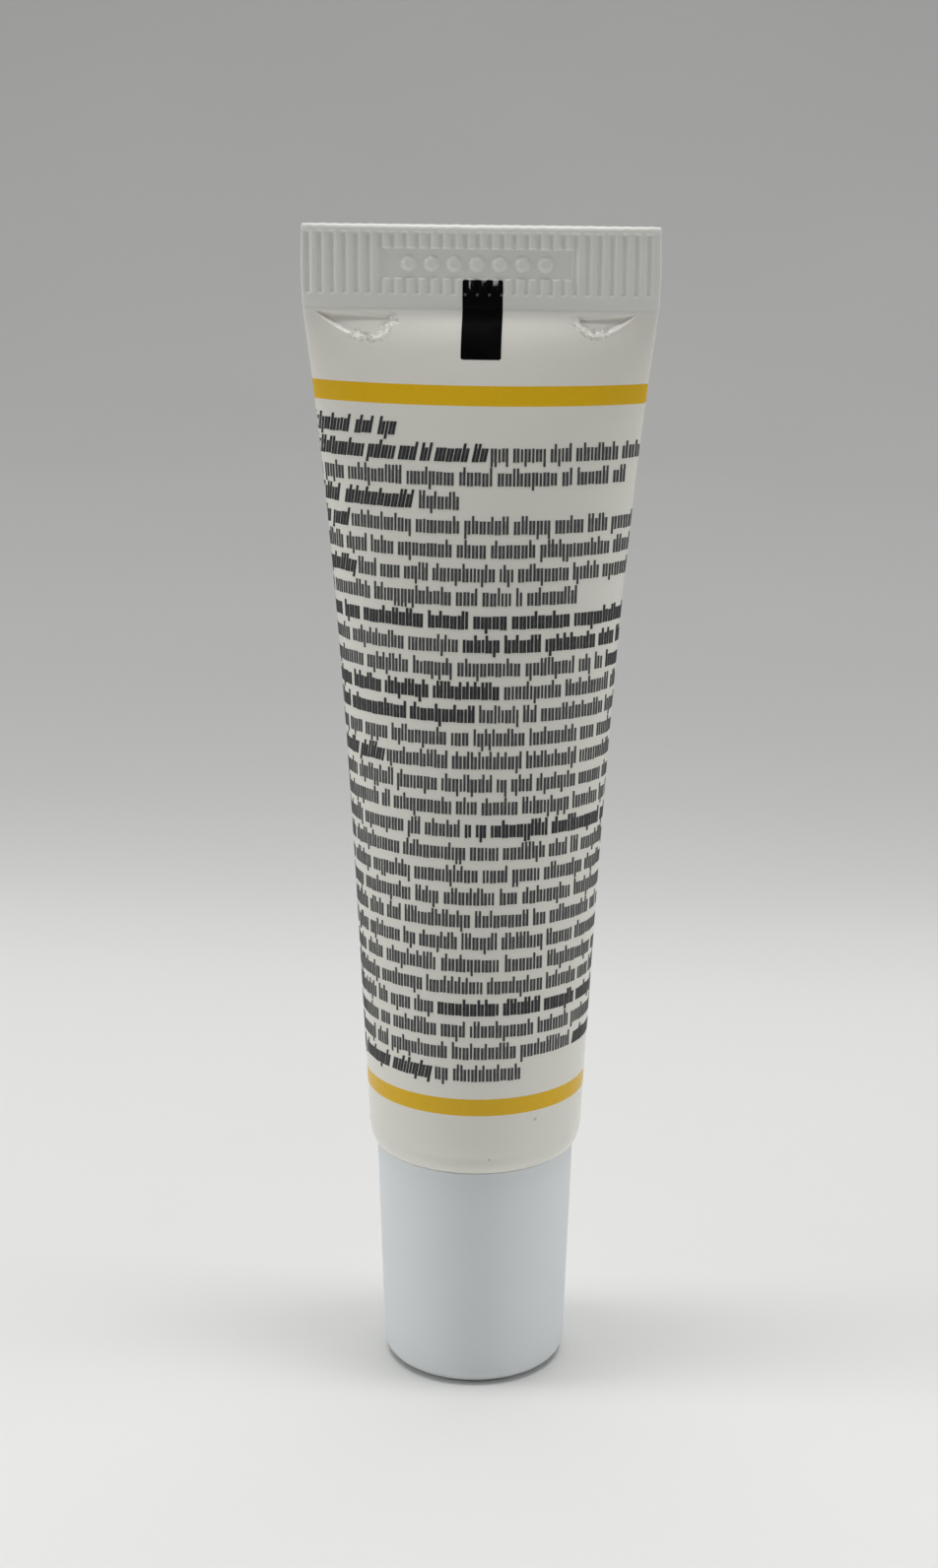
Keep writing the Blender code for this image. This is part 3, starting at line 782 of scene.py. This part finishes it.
def fine_print():
    """The block of fine print, as rows of plain upright strokes."""
    rng = np.random.default_rng(PRINT_SEED)
    found = {name: [] for name in PRINT_PIECES}
    for row in range(ROW_COUNT):
        base = ROW_FIRST_Z - ROW_PITCH * row
        heavy_low, heavy_high = HEAVY_STRETCH_SHARES.get(row, (0.0, 0.0))
        for left, signs in row_of_words(row, rng):
            share = (left - ROW_LEFT) / (ROW_RIGHT - ROW_LEFT)
            heavy = heavy_low <= share < heavy_high
            slant = ROW_SLANT if heavy and row in SLANTED_ROWS else 0.0
            width = HEAVY_STROKE_WIDTH if heavy else STROKE_WIDTH
            strokes, greys = signs_of_word(left, signs, base, width, slant, rng)
            found["print_heavy_strokes" if heavy else "print_strokes"] += strokes
            found["print_heavy_greys" if heavy else "print_greys"] += greys
    for name, ink in PRINT_PIECES.items():
        lift = PRINT_LIFT if name.endswith("greys") else 2.0 * PRINT_LIFT
        printed_strokes(name, found[name], lift, ink_material(*ink))


# The turned pieces: cap, head, liner and foil
def bead_height(angles, height, foot):
    """How far the helical bead stands up at a height, for each angle from +X."""
    tallest = np.zeros_like(angles)
    for lap in range(int(math.ceil(THREAD_TURNS))):
        along = angles / FULL_TURN + lap
        away = np.abs(height - foot - THREAD_LEAD * along)
        rise = THREAD_BEAD_RADIUS * (1.0 - ramp(away, THREAD_CREST, THREAD_BEAD_RADIUS))
        end = THREAD_TURNS - THREAD_FADE_SHARE
        ends = ramp(along, 0.0, THREAD_FADE_SHARE) * (1.0 - ramp(along, end, THREAD_TURNS))
        tallest = np.maximum(tallest, rise * ends)
    return tallest


def arc(radius, height, rounding, start, end):
    """Points of a round corner about a centre, as (radius, height) pairs."""
    angles = [start + (end - start) * step / ARC_STEPS for step in range(ARC_STEPS + 1)]
    return [(radius + rounding * math.cos(angle), height + rounding * math.sin(angle))
            for angle in angles]


def top_corner(radius, top, rounding):
    """A round outer corner, down from a flat top to the side at a radius."""
    return arc(radius - rounding, top - rounding, rounding, QUARTER_TURN, 0.0)


def foot_corner(radius, foot, rounding):
    """A round outer corner, down from the side at a radius to a flat foot."""
    return arc(radius - rounding, foot + rounding, rounding, 0.0, -QUARTER_TURN)


def threaded_side(radius, low, high):
    """Points up a threaded side, as (radius, height) pairs."""
    return [(radius, height) for height in steps_between(low, high, THREAD_STEP)]


def turned_mesh(name, profile, closed=False, thread=(None, 0.0, 0.0)):
    """Turn a profile about the Z axis; thread is its side's radius, its foot and its direction."""
    angles = FULL_TURN * np.arange(TURNED_STEPS) / TURNED_STEPS
    thread_side, thread_foot, direction = thread
    points = []
    rings = []
    for radius, height in profile:
        if radius == 0.0:
            rings.append([len(points)])
            points.append((0.0, 0.0, height))
            continue
        radii = np.full(TURNED_STEPS, radius)
        if radius == thread_side:
            radii = radii + direction * bead_height(angles, height, thread_foot)
        rings.append(list(range(len(points), len(points) + TURNED_STEPS)))
        points += zip(radii * np.cos(angles), radii * np.sin(angles), np.full(TURNED_STEPS, height))
    faces = []
    for lower, upper in zip(rings, rings[1:] + (rings[:1] if closed else [])):
        faces += strip_faces(lower, upper)
    return mesh_from(name, points, faces)


def cross_solid(name, reach, half, low, high):
    """A closed upright cross of two webs, as an object."""
    outline = []
    for quarter in range(4):
        angle = QUARTER_TURN * quarter
        for along, side in ((reach, -half), (reach, half), (half, half)):
            outline.append((along * math.cos(angle) - side * math.sin(angle),
                            along * math.sin(angle) + side * math.cos(angle)))
    count = len(outline)
    points = [(x, y, z) for z in (low, high) for x, y in outline]
    faces = strip_faces(list(range(count)), list(range(count, 2 * count)))
    faces += [tuple(range(count)), tuple(range(count, 2 * count))]
    return new_object(name, mesh_from(name, points, faces, smooth=False))


def united(mesh, other):
    """A mesh joined with another object, which is removed."""
    thing = new_object("join", mesh)
    boolean = thing.modifiers.new("join", "BOOLEAN")
    boolean.operation = "UNION"
    boolean.solver = "EXACT"
    boolean.object = other
    bpy.context.view_layer.update()
    joined = bpy.data.meshes.new_from_object(thing.evaluated_get(bpy.context.evaluated_depsgraph_get()))
    for used in (thing, other):
        bpy.data.objects.remove(used, do_unlink=True)
    joined.shade_smooth()
    joined.set_sharp_from_angle(angle=SHARP_ANGLE)
    return joined


def cap_moulding(material):
    """The cap: a drafted shell and a threaded core on one end plate, joined by webs."""
    end_radius = CAP_RIM_RADIUS - CAP_DRAFT
    rim_z = CAP_HEIGHT - CAP_RIM_DROP
    side_z = rim_z - CAP_RIM_EDGE
    inner_rim = CAP_RIM_RADIUS - CAP_WALL
    floor_radius = end_radius + CAP_DRAFT * CAP_END_THICKNESS / CAP_HEIGHT - CAP_WALL
    core_radius = CORE_BORE_RADIUS + CORE_WALL
    core_middle = CORE_BORE_RADIUS + CORE_WALL / 2.0
    core_z = CAP_HEIGHT - CORE_DROP - CAP_RIM_EDGE
    profile = [(0.0, CAP_END_THICKNESS)]
    profile += threaded_side(CORE_BORE_RADIUS, CAP_END_THICKNESS, core_z)
    profile += arc(core_middle, core_z, CAP_RIM_EDGE, math.pi, 0.0)[1:-1]
    profile += [(core_radius, core_z), (core_radius, CAP_END_THICKNESS)]
    profile += [(floor_radius, CAP_END_THICKNESS), (inner_rim, side_z), (inner_rim + CAP_RIM_EDGE, rim_z)]
    profile += top_corner(CAP_RIM_RADIUS, rim_z, CAP_RIM_EDGE)
    for step in range(1, CAP_SIDE_STEPS):
        share = step / CAP_SIDE_STEPS
        down = (side_z - CAP_END_ROUNDING) * share
        profile.append((CAP_RIM_RADIUS - CAP_DRAFT * share, side_z - down))
    profile += foot_corner(end_radius, 0.0, CAP_END_ROUNDING)
    profile.append((0.0, 0.0))
    mesh = turned_mesh("cap_moulding", profile, thread=(CORE_BORE_RADIUS, CAP_THREAD_Z, -1.0))
    web_reach = floor_radius + CAP_WALL / 2.0
    webs = cross_solid("webs", web_reach, CORE_WEB / 2.0, CAP_END_THICKNESS / 2.0, LINER_SEAT_Z)
    thing = add_piece("cap_moulding", united(mesh, webs), "cap", [material])
    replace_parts(thing, "screw_cap")


def head_moulding(material):
    """The head: a shoulder plate with a funnel, and a threaded neck with an orifice plate."""
    shoulder_z = SHOULDER_TOP_Z - SHOULDER_THICKNESS
    root_z = shoulder_z - NECK_ROOT
    plate_z = NECK_RIM_Z + ORIFICE_PLATE
    bore = NECK_RADIUS - NECK_WALL
    profile = [(SHOULDER_RADIUS - NECK_EDGE, SHOULDER_TOP_Z), (SHOULDER_RADIUS, SHOULDER_TOP_Z - NECK_EDGE)]
    profile += foot_corner(SHOULDER_RADIUS, shoulder_z, NECK_EDGE)
    profile += arc(NECK_RADIUS + NECK_ROOT, root_z, NECK_ROOT, QUARTER_TURN, math.pi)[:-1]
    profile += reversed(threaded_side(NECK_RADIUS, NECK_RIM_Z + NECK_EDGE, root_z))
    profile += foot_corner(NECK_RADIUS, NECK_RIM_Z, NECK_EDGE)[1:]
    profile += [(ORIFICE_RADIUS, NECK_RIM_Z), (ORIFICE_RADIUS, plate_z), (bore, plate_z)]
    profile += [(bore, shoulder_z), (bore + SHOULDER_FUNNEL, SHOULDER_TOP_Z)]
    thread = (NECK_RADIUS, NECK_THREAD_Z, 1.0)
    mesh = turned_mesh("head_moulding", profile, closed=True, thread=thread)
    thing = add_piece("head_moulding", mesh, "tube", [material])
    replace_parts(thing, "tube_head")


def liner_disc(material):
    """The foamed liner, with the faint ring that the neck's rim presses into it."""
    low, high, radius = LINER_LOW[2], LINER_HIGH[2], LINER_HIGH[0]
    ring_inner = NECK_RADIUS - NECK_WALL
    profile = [(0.0, high), (ring_inner - LINER_EDGE, high), (ring_inner + LINER_EDGE, high - LINER_DENT)]
    profile += [(NECK_RADIUS - LINER_EDGE, high - LINER_DENT), (NECK_RADIUS + LINER_EDGE, high)]
    profile += top_corner(radius, high, LINER_EDGE) + foot_corner(radius, low, LINER_EDGE)
    profile.append((0.0, low))
    mesh = turned_mesh("liner_disc", profile)
    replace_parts(add_piece("liner_disc", mesh, "liner", [material]), "cap_liner")


def foil_disc(material):
    """The foil over the neck's mouth, embossed with rings where it is welded to the rim."""
    low, high = FOIL_LOW[2], FOIL_HIGH[2]
    weld = NECK_RADIUS - NECK_WALL
    steps = 2 * FOIL_RINGS
    profile = [(0.0, high), (weld, high)]
    profile += top_corner(NECK_RADIUS, high, FOIL_EDGE) + foot_corner(NECK_RADIUS, low, FOIL_EDGE)
    for index in range(steps, -1, -1):
        radius = weld + (NECK_RADIUS - 2.0 * FOIL_EDGE - weld) * index / steps
        profile.append((radius, low + (FOIL_EMBOSS if index % 2 else 0.0)))
    profile.append((0.0, low))
    mesh = turned_mesh("foil_disc", profile)
    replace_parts(add_piece("foil_disc", mesh, "tube", [material]), "foil_seal")


# Materials
class Surface:
    """A procedural material; plain holds its shader's plain values by the names of the inputs."""

    def __init__(self, name, plain=None):
        self.material = bpy.data.materials.new(name)
        self.material.use_nodes = True
        self.tree = self.material.node_tree
        self.inputs = self.tree.nodes["Principled BSDF"].inputs
        for key, value in (plain or {}).items():
            self.inputs[key].default_value = value
        self.place = self.node("TexCoord", {}).outputs["Object"]

    def node(self, kind, inputs, operation=None):
        """A node with its operation; each input is a plain value or another node's output."""
        made = self.tree.nodes.new("ShaderNode" + kind)
        if operation:
            made.operation = operation
        for name, value in inputs.items():
            if isinstance(value, bpy.types.NodeSocket):
                self.tree.links.new(value, made.inputs[name])
            else:
                made.inputs[name].default_value = value
        return made

    def part(self, axis):
        """One of the place's coordinates, by the letter of its axis."""
        return self.node("SeparateXYZ", {"Vector": self.place}).outputs[axis]

    def noise(self, scale, detail=2.0, place=None):
        place = self.place if place is None else place
        return self.node("TexNoise", {"Vector": place, "Scale": scale, "Detail": detail}).outputs["Fac"]

    def cells(self, scale):
        return self.node("TexVoronoi", {"Vector": self.place, "Scale": scale}).outputs

    def calculated(self, operation, first, second=0.0):
        return self.node("Math", {0: first, 1: second}, operation).outputs["Value"]

    def product(self, first, second):
        return self.calculated("MULTIPLY", first, second)

    def vectors(self, operation, first, second, result="Vector"):
        return self.node("VectorMath", {0: first, 1: second}, operation).outputs[result]

    def facets(self, scale):
        """Heights of small flat facets, each tilted its own way by up to about half its width."""
        cells = self.cells(scale)
        away = self.vectors("SUBTRACT", self.place, cells["Position"])
        tilt = self.vectors("SUBTRACT", cells["Color"], MIDDLE_GREY)
        return self.vectors("DOT_PRODUCT", away, tilt, "Value")

    def spread(self, value, low, high, out_low=0.0, out_high=1.0):
        """Map low..high to out_low..out_high, clamped."""
        ends = {"From Min": low, "From Max": high, "To Min": out_low, "To Max": out_high}
        return self.node("MapRange", {"Value": value, **ends}).outputs["Result"]

    def clouds(self, scale, low=0.0, high=1.0, detail=2.0, shares=CLOUD_SHARES, place=None):
        """Soft clouds between low and high, which the noise reaches at the two shares."""
        return self.spread(self.noise(scale, detail, place), *shares, low, high)

    def mixed(self, share, first, second):
        """Mix two colours, each a colour or another node's output."""
        made = self.node("Mix", {"Factor": share})
        made.data_type = "RGBA"
        sockets = [socket for socket in made.inputs if socket.type == "RGBA"]
        for socket, colour in zip(sockets, (first, second)):
            if isinstance(colour, tuple):
                socket.default_value = (*colour, 1.0)
            else:
                self.tree.links.new(colour, socket)
        return [socket for socket in made.outputs if socket.type == "RGBA"][0]

    def graded(self, value, stops):
        """A share that follows a list of (place, share) stops."""
        made = self.node("FloatCurve", {"Value": value})
        curve = made.mapping.curves[0]
        for point, stop in zip(curve.points, (stops[0], stops[-1])):
            point.location = stop
        for stop in stops[1:-1]:
            curve.points.new(*stop)
        made.mapping.update()
        return made.outputs["Value"]

    def near(self, spots):
        """1 on the spots, each a centre and a radius, and 0 elsewhere."""
        total = None
        for centre, radius in spots:
            gap = self.vectors("DISTANCE", self.place, centre, "Value")
            near = self.spread(gap, radius / 2.0, radius * SPOT_FADE_SHARE, 1.0, 0.0)
            total = near if total is None else self.calculated("MAXIMUM", total, near)
        return total

    def colour(self, share, first, second):
        """Colour the surface from the first colour to the second."""
        self.tree.links.new(self.mixed(share, first, second), self.inputs["Base Color"])

    def dull(self, rough):
        self.tree.links.new(rough, self.inputs["Roughness"])

    def bump(self, height, strength, distance):
        made = self.node("Bump", {"Height": height, "Strength": strength, "Distance": distance})
        self.tree.links.new(made.outputs["Normal"], self.inputs["Normal"])


# Small dark specks caught in the film, as places and radii
SPECKS = (
    ((5.85 * MM, -7.5 * MM, 25.95 * MM), 0.15 * MM),
    ((1.9 * MM, -9.3 * MM, 22.7 * MM), 0.1 * MM),
    ((10.7 * MM, -1.9 * MM, 91.2 * MM), 0.16 * MM),
    ((-6.0 * MM, -2.4 * MM, 92.3 * MM), 0.1 * MM),
    ((3.1 * MM, -3.9 * MM, 86.9 * MM), 0.1 * MM),
)


def pocket_spots(first_share, radius):
    """Spots along the lower edges of the front's pockets, from a share of their length inwards."""
    spots = []
    for tip, end, drop in POCKETS:
        count = int(abs(end - tip) * (1.0 - first_share) / POCKET_SPOT_STEP)
        for angle in np.linspace(0.0, QUARTER_TURN, count):
            along = first_share + (1.0 - first_share) * math.sin(angle)
            below = drop * float(pocket_lower_edge(along)) - POCKET_BEVEL / 2.0
            z = CRIMP_FOOT_Z - max(below, POCKET_SPOT_LAND)
            turn = math.asin((tip + (end - tip) * along) / base_outline(QUARTER_TURN, z)[0])
            spots.append((tuple(base_outline(turn, z)), radius))
    return spots


def sleeve_material():
    """Glossy film: warm where the serum backs it, greyer and duller on the pressed crimp."""
    film = Surface("sleeve_film", {"IOR": 1.54, "Subsurface Weight": 0.1,
                                   "Subsurface Radius": (1.0, 0.8, 0.6), "Subsurface Scale": FILM_SCATTER})
    crimp = film.spread(film.part("Z"), CRIMP_FOOT_Z - PALE_DROP, CRIMP_FOOT_Z + CRIMP_START)
    cloud = film.clouds(scale=90.0)
    plain = film.mixed(crimp, film.mixed(cloud, *WARM_FILM), film.mixed(cloud, *PALE_FILM))
    patchy = film.clouds(scale=3200.0, low=0.25, shares=(0.35, 0.6))
    film.colour(film.product(film.near(SPECKS), patchy), plain, SPECK_BROWN)
    patch = film.clouds(scale=240.0, low=0.17, high=0.23, detail=3.0)
    rough = film.calculated("ADD", patch, film.product(crimp, CRIMP_DULLNESS))
    sleek = film.near(pocket_spots(0.0, POCKET_SMOOTH_RADIUS))
    film.dull(film.product(rough, film.calculated("SUBTRACT", 1.0, film.product(sleek, SLEEK_SHARE))))
    creased = film.near(pocket_spots(POCKET_CRUMPLED_SHARE, POCKET_CRUMPLED_RADIUS))
    crumpled = film.product(creased, film.facets(scale=3600.0))
    grain = film.product(film.noise(scale=1500.0, detail=3.0), FILM_GRAIN)
    film.bump(film.calculated("ADD", grain, crumpled), strength=1.0, distance=1.0)
    return film.material


def band_material():
    """Golden yellow ink, a little uneven."""
    ink = Surface("yellow_ink", {"Specular IOR Level": 0.3})
    ink.colour(ink.clouds(scale=130.0), *YELLOW_INK)
    ink.dull(ink.clouds(scale=500.0, low=0.24, high=0.32))
    ink.bump(ink.noise(scale=1500.0, detail=3.0), strength=0.06, distance=BUMP_HEIGHT)
    return ink.material


def ink_material(name, dark, light):
    """Ink that covers a little unevenly."""
    ink = Surface(name, {"Specular IOR Level": 0.15})
    ink.colour(ink.clouds(scale=2600.0, detail=3.0, shares=(0.35, 0.7)), dark, light)
    ink.dull(ink.clouds(scale=900.0, low=0.34, high=0.42))
    return ink.material


def rubbed_share(ink, off_groove):
    """1 where the ink is rubbed off the crowns of the ribs in short streaks near its top."""
    crown = ink.spread(off_groove, *CROWN_SHARES)
    high = ink.spread(ink.part("Z"), MARK_HIGH_Z - MARK_RUBBED_HEIGHT, MARK_HIGH_Z)
    stretched = ink.node("Mapping", {"Vector": ink.place, "Scale": STREAK_STRETCH}).outputs["Vector"]
    streak = ink.clouds(scale=3100.0, detail=3.0, shares=(0.36, 0.62), place=stretched)
    return ink.spread(ink.product(ink.product(streak, high), crown), *RUBBED_SHARES)


def painted_glint_share(ink, off_groove):
    """Painted highlights: faint pale dots at the feet of the grooves between the ribs, where the dimples
    catch the light.
    """
    foot_z = CRIMP_FOOT_Z + RIB_FOOT_LAND + GROOVE_FOOT_RADIUS / 2.0
    off_foot = ink.calculated("ABSOLUTE", ink.calculated("SUBTRACT", ink.part("Z"), foot_z))
    near_foot = ink.spread(off_foot, DOT_CORE, DOT_REACH, 1.0, 0.0)
    valley = ink.spread(off_groove, *VALLEY_SHARES, 1.0, 0.0)
    return ink.product(ink.product(near_foot, valley), DOT_STRENGTH_SHARE)


def mark_material():
    """Black ink, rubbed through on the crowns of the ribs, with painted highlights at the feet of the
    grooves.
    """
    ink = Surface("black_ink", {"Specular IOR Level": 0.03})
    ribs = ink.calculated("DIVIDE", ink.calculated("SUBTRACT", ink.part("X"), RIB_SHIFT), RIB_PITCH)
    off_groove = ink.calculated("PINGPONG", ribs, HALF_PITCH_SHARE)
    # Pale where the ink is rubbed off, and painted highlights at the grooves' feet
    worn_and_glint = ink.calculated("MAXIMUM", rubbed_share(ink, off_groove), painted_glint_share(ink, off_groove))
    ink.colour(worn_and_glint, ink.mixed(ink.clouds(scale=700.0), *BLACK_INK), WORN_AND_GLINT_GREY)
    ink.dull(ink.clouds(scale=900.0, low=0.3, high=0.4))
    return ink.material


def moulded_material(name, colours, roughness, grain):
    """Moulded plastic with a fine grain and a faint cloudiness."""
    plastic = Surface(name)
    plastic.colour(plastic.clouds(scale=110.0), *colours)
    low = roughness - ROUGHNESS_SPREAD
    plastic.dull(plastic.clouds(scale=420.0, low=low, high=roughness + ROUGHNESS_SPREAD, detail=3.0))
    plastic.bump(plastic.noise(scale=5200.0), strength=grain, distance=GRAIN_HEIGHT)
    return plastic.material


def foil_material():
    """Thin aluminium laminate with shallow creases."""
    foil = Surface("foil", {"Metallic": 1.0})
    foil.colour(foil.clouds(scale=500.0), *FOIL_GREY)
    foil.dull(foil.clouds(scale=900.0, low=0.25, high=0.4))
    foil.bump(foil.noise(scale=700.0, detail=4.0), strength=0.3, distance=CREASE_HEIGHT)
    return foil.material


def foam_material():
    """White foamed sheet with fine closed cells."""
    foam = Surface("foam")
    bubbles = foam.cells(scale=3200.0)["Distance"]
    foam.colour(foam.spread(bubbles, *FOAM_SHARES), *FOAM_WHITE)
    foam.dull(foam.clouds(scale=900.0, low=0.7, high=0.85))
    foam.bump(bubbles, strength=0.4, distance=BUMP_HEIGHT)
    return foam.material


def serum_material():
    """Pale cream fluid with a wet gloss."""
    serum = Surface("serum")
    serum.colour(serum.clouds(scale=160.0, detail=3.0), *SERUM_CREAM)
    serum.dull(serum.clouds(scale=300.0, low=0.08, high=0.14))
    serum.bump(serum.noise(scale=300.0), strength=0.1, distance=CREASE_HEIGHT)
    return serum.material


def dress_node(node, material):
    """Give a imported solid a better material."""
    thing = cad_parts[node]
    thing.data.materials.clear()
    thing.data.materials.append(material)


# The surroundings
def stage_sweep():
    """A pale floor that curves up into a backdrop, far behind the tube, its colour darkened towards the
    back as painted shade.
    """
    profile = [(FLOOR_FRONT, 0.0)]
    for index in range(BEND_STEPS + 1):
        angle = QUARTER_TURN * index / BEND_STEPS
        profile.append((BEND_START + BEND_RADIUS * math.sin(angle), BEND_RADIUS * (1.0 - math.cos(angle))))
    profile.append((BEND_START + BEND_RADIUS, BACKDROP_TOP))
    points = [(x, y, z) for y, z in profile for x in (-FLOOR_HALF_WIDTH, FLOOR_HALF_WIDTH)]
    faces = [(first, first + 1, first + 3, first + 2) for first in range(0, len(points) - 2, 2)]
    mesh = bpy.data.meshes.new("sweep")
    mesh.from_pydata(points, [], faces)
    mesh.shade_smooth()
    paper = Surface("paper", {"Roughness": 0.9, "Specular IOR Level": 0.2})
    # Painted shade: the paper's colour darkens from front to back, where less lamp light would reach
    painted_shade = paper.graded(paper.spread(paper.part("Y"), GRADED_NEAR, GRADED_FAR), PAINTED_SHADE_SHARES)
    share = paper.product(painted_shade, paper.clouds(scale=9.0, low=0.985, high=1.015))
    paper.colour(share, (0.0, 0.0, 0.0), FLOOR_COLOUR)
    mesh.materials.append(paper.material)
    thing = new_object("sweep", mesh)


def area_light(name, place, target, size, power, spread_angle=math.pi):
    light = bpy.data.lights.new(name, "AREA")
    light.shape = "RECTANGLE"
    light.size, light.size_y = size
    light.energy = power
    light.spread = spread_angle
    thing = new_object(name, light)
    thing.location = place
    thing.rotation_euler = (Vector(target) - Vector(place)).to_track_quat("-Z", "Y").to_euler()


def studio_lights():
    """A broad square lamp and a long strip overhead, and a weaker panel on each side."""
    for name, (back, size, power) in LAMPS.items():
        area_light(name, (0.0, back, LAMP_HEIGHT), (0.0, back, 0.0), size, power)
    for name, (across, size, power) in PANELS.items():
        place = Vector((across, -PANEL_FORWARD, PANEL_HEIGHT))
        place.rotate(Matrix.Rotation(CAMERA_TURN, 3, "Z"))
        area_light(name, place, (0.0, 0.0, CRIMP_FOOT_Z), size, power, PANEL_SPREAD)


def set_world():
    world = bpy.data.worlds.new("room")
    bpy.context.scene.world = world
    world.use_nodes = True
    background = world.node_tree.nodes["Background"]
    background.inputs["Color"].default_value = ROOM_COLOUR
    background.inputs["Strength"].default_value = ROOM_STRENGTH


def set_camera():
    camera = bpy.data.cameras.new("camera")
    camera.lens = CAMERA_LENS
    camera.sensor_width = SENSOR_WIDTH
    camera.clip_start = CAMERA_NEAR
    thing = new_object("camera", camera)
    forward = Vector((0.0, math.cos(CAMERA_PITCH), -math.sin(CAMERA_PITCH)))
    level_right = Vector((1.0, 0.0, 0.0))
    level_up = level_right.cross(forward)
    right = level_right * math.cos(CAMERA_ROLL) + level_up * math.sin(CAMERA_ROLL)
    up = level_up * math.cos(CAMERA_ROLL) - level_right * math.sin(CAMERA_ROLL)
    facing = Matrix((right, up, -forward)).transposed().to_4x4()
    place = Matrix.Translation((CAMERA_SIDE, -CAMERA_DISTANCE, CAMERA_HEIGHT))
    thing.matrix_world = Matrix.Rotation(CAMERA_TURN, 4, "Z") @ place @ facing
    bpy.context.scene.camera = thing


def build():
    set_camera()
    sleeve_skin(sleeve_material(), band_material())
    black_mark(mark_material())
    fine_print()
    cap_moulding(moulded_material("cap_plastic", CAP_WHITE, roughness=0.5, grain=0.15))
    head_moulding(moulded_material("head_plastic", HEAD_WHITE, roughness=0.38, grain=0.08))
    liner_disc(foam_material())
    foil_disc(foil_material())
    dress_node("serum_fill", serum_material())
    stage_sweep()
    studio_lights()
    set_world()
    bpy.context.scene.view_settings.view_transform = "Standard"


build()
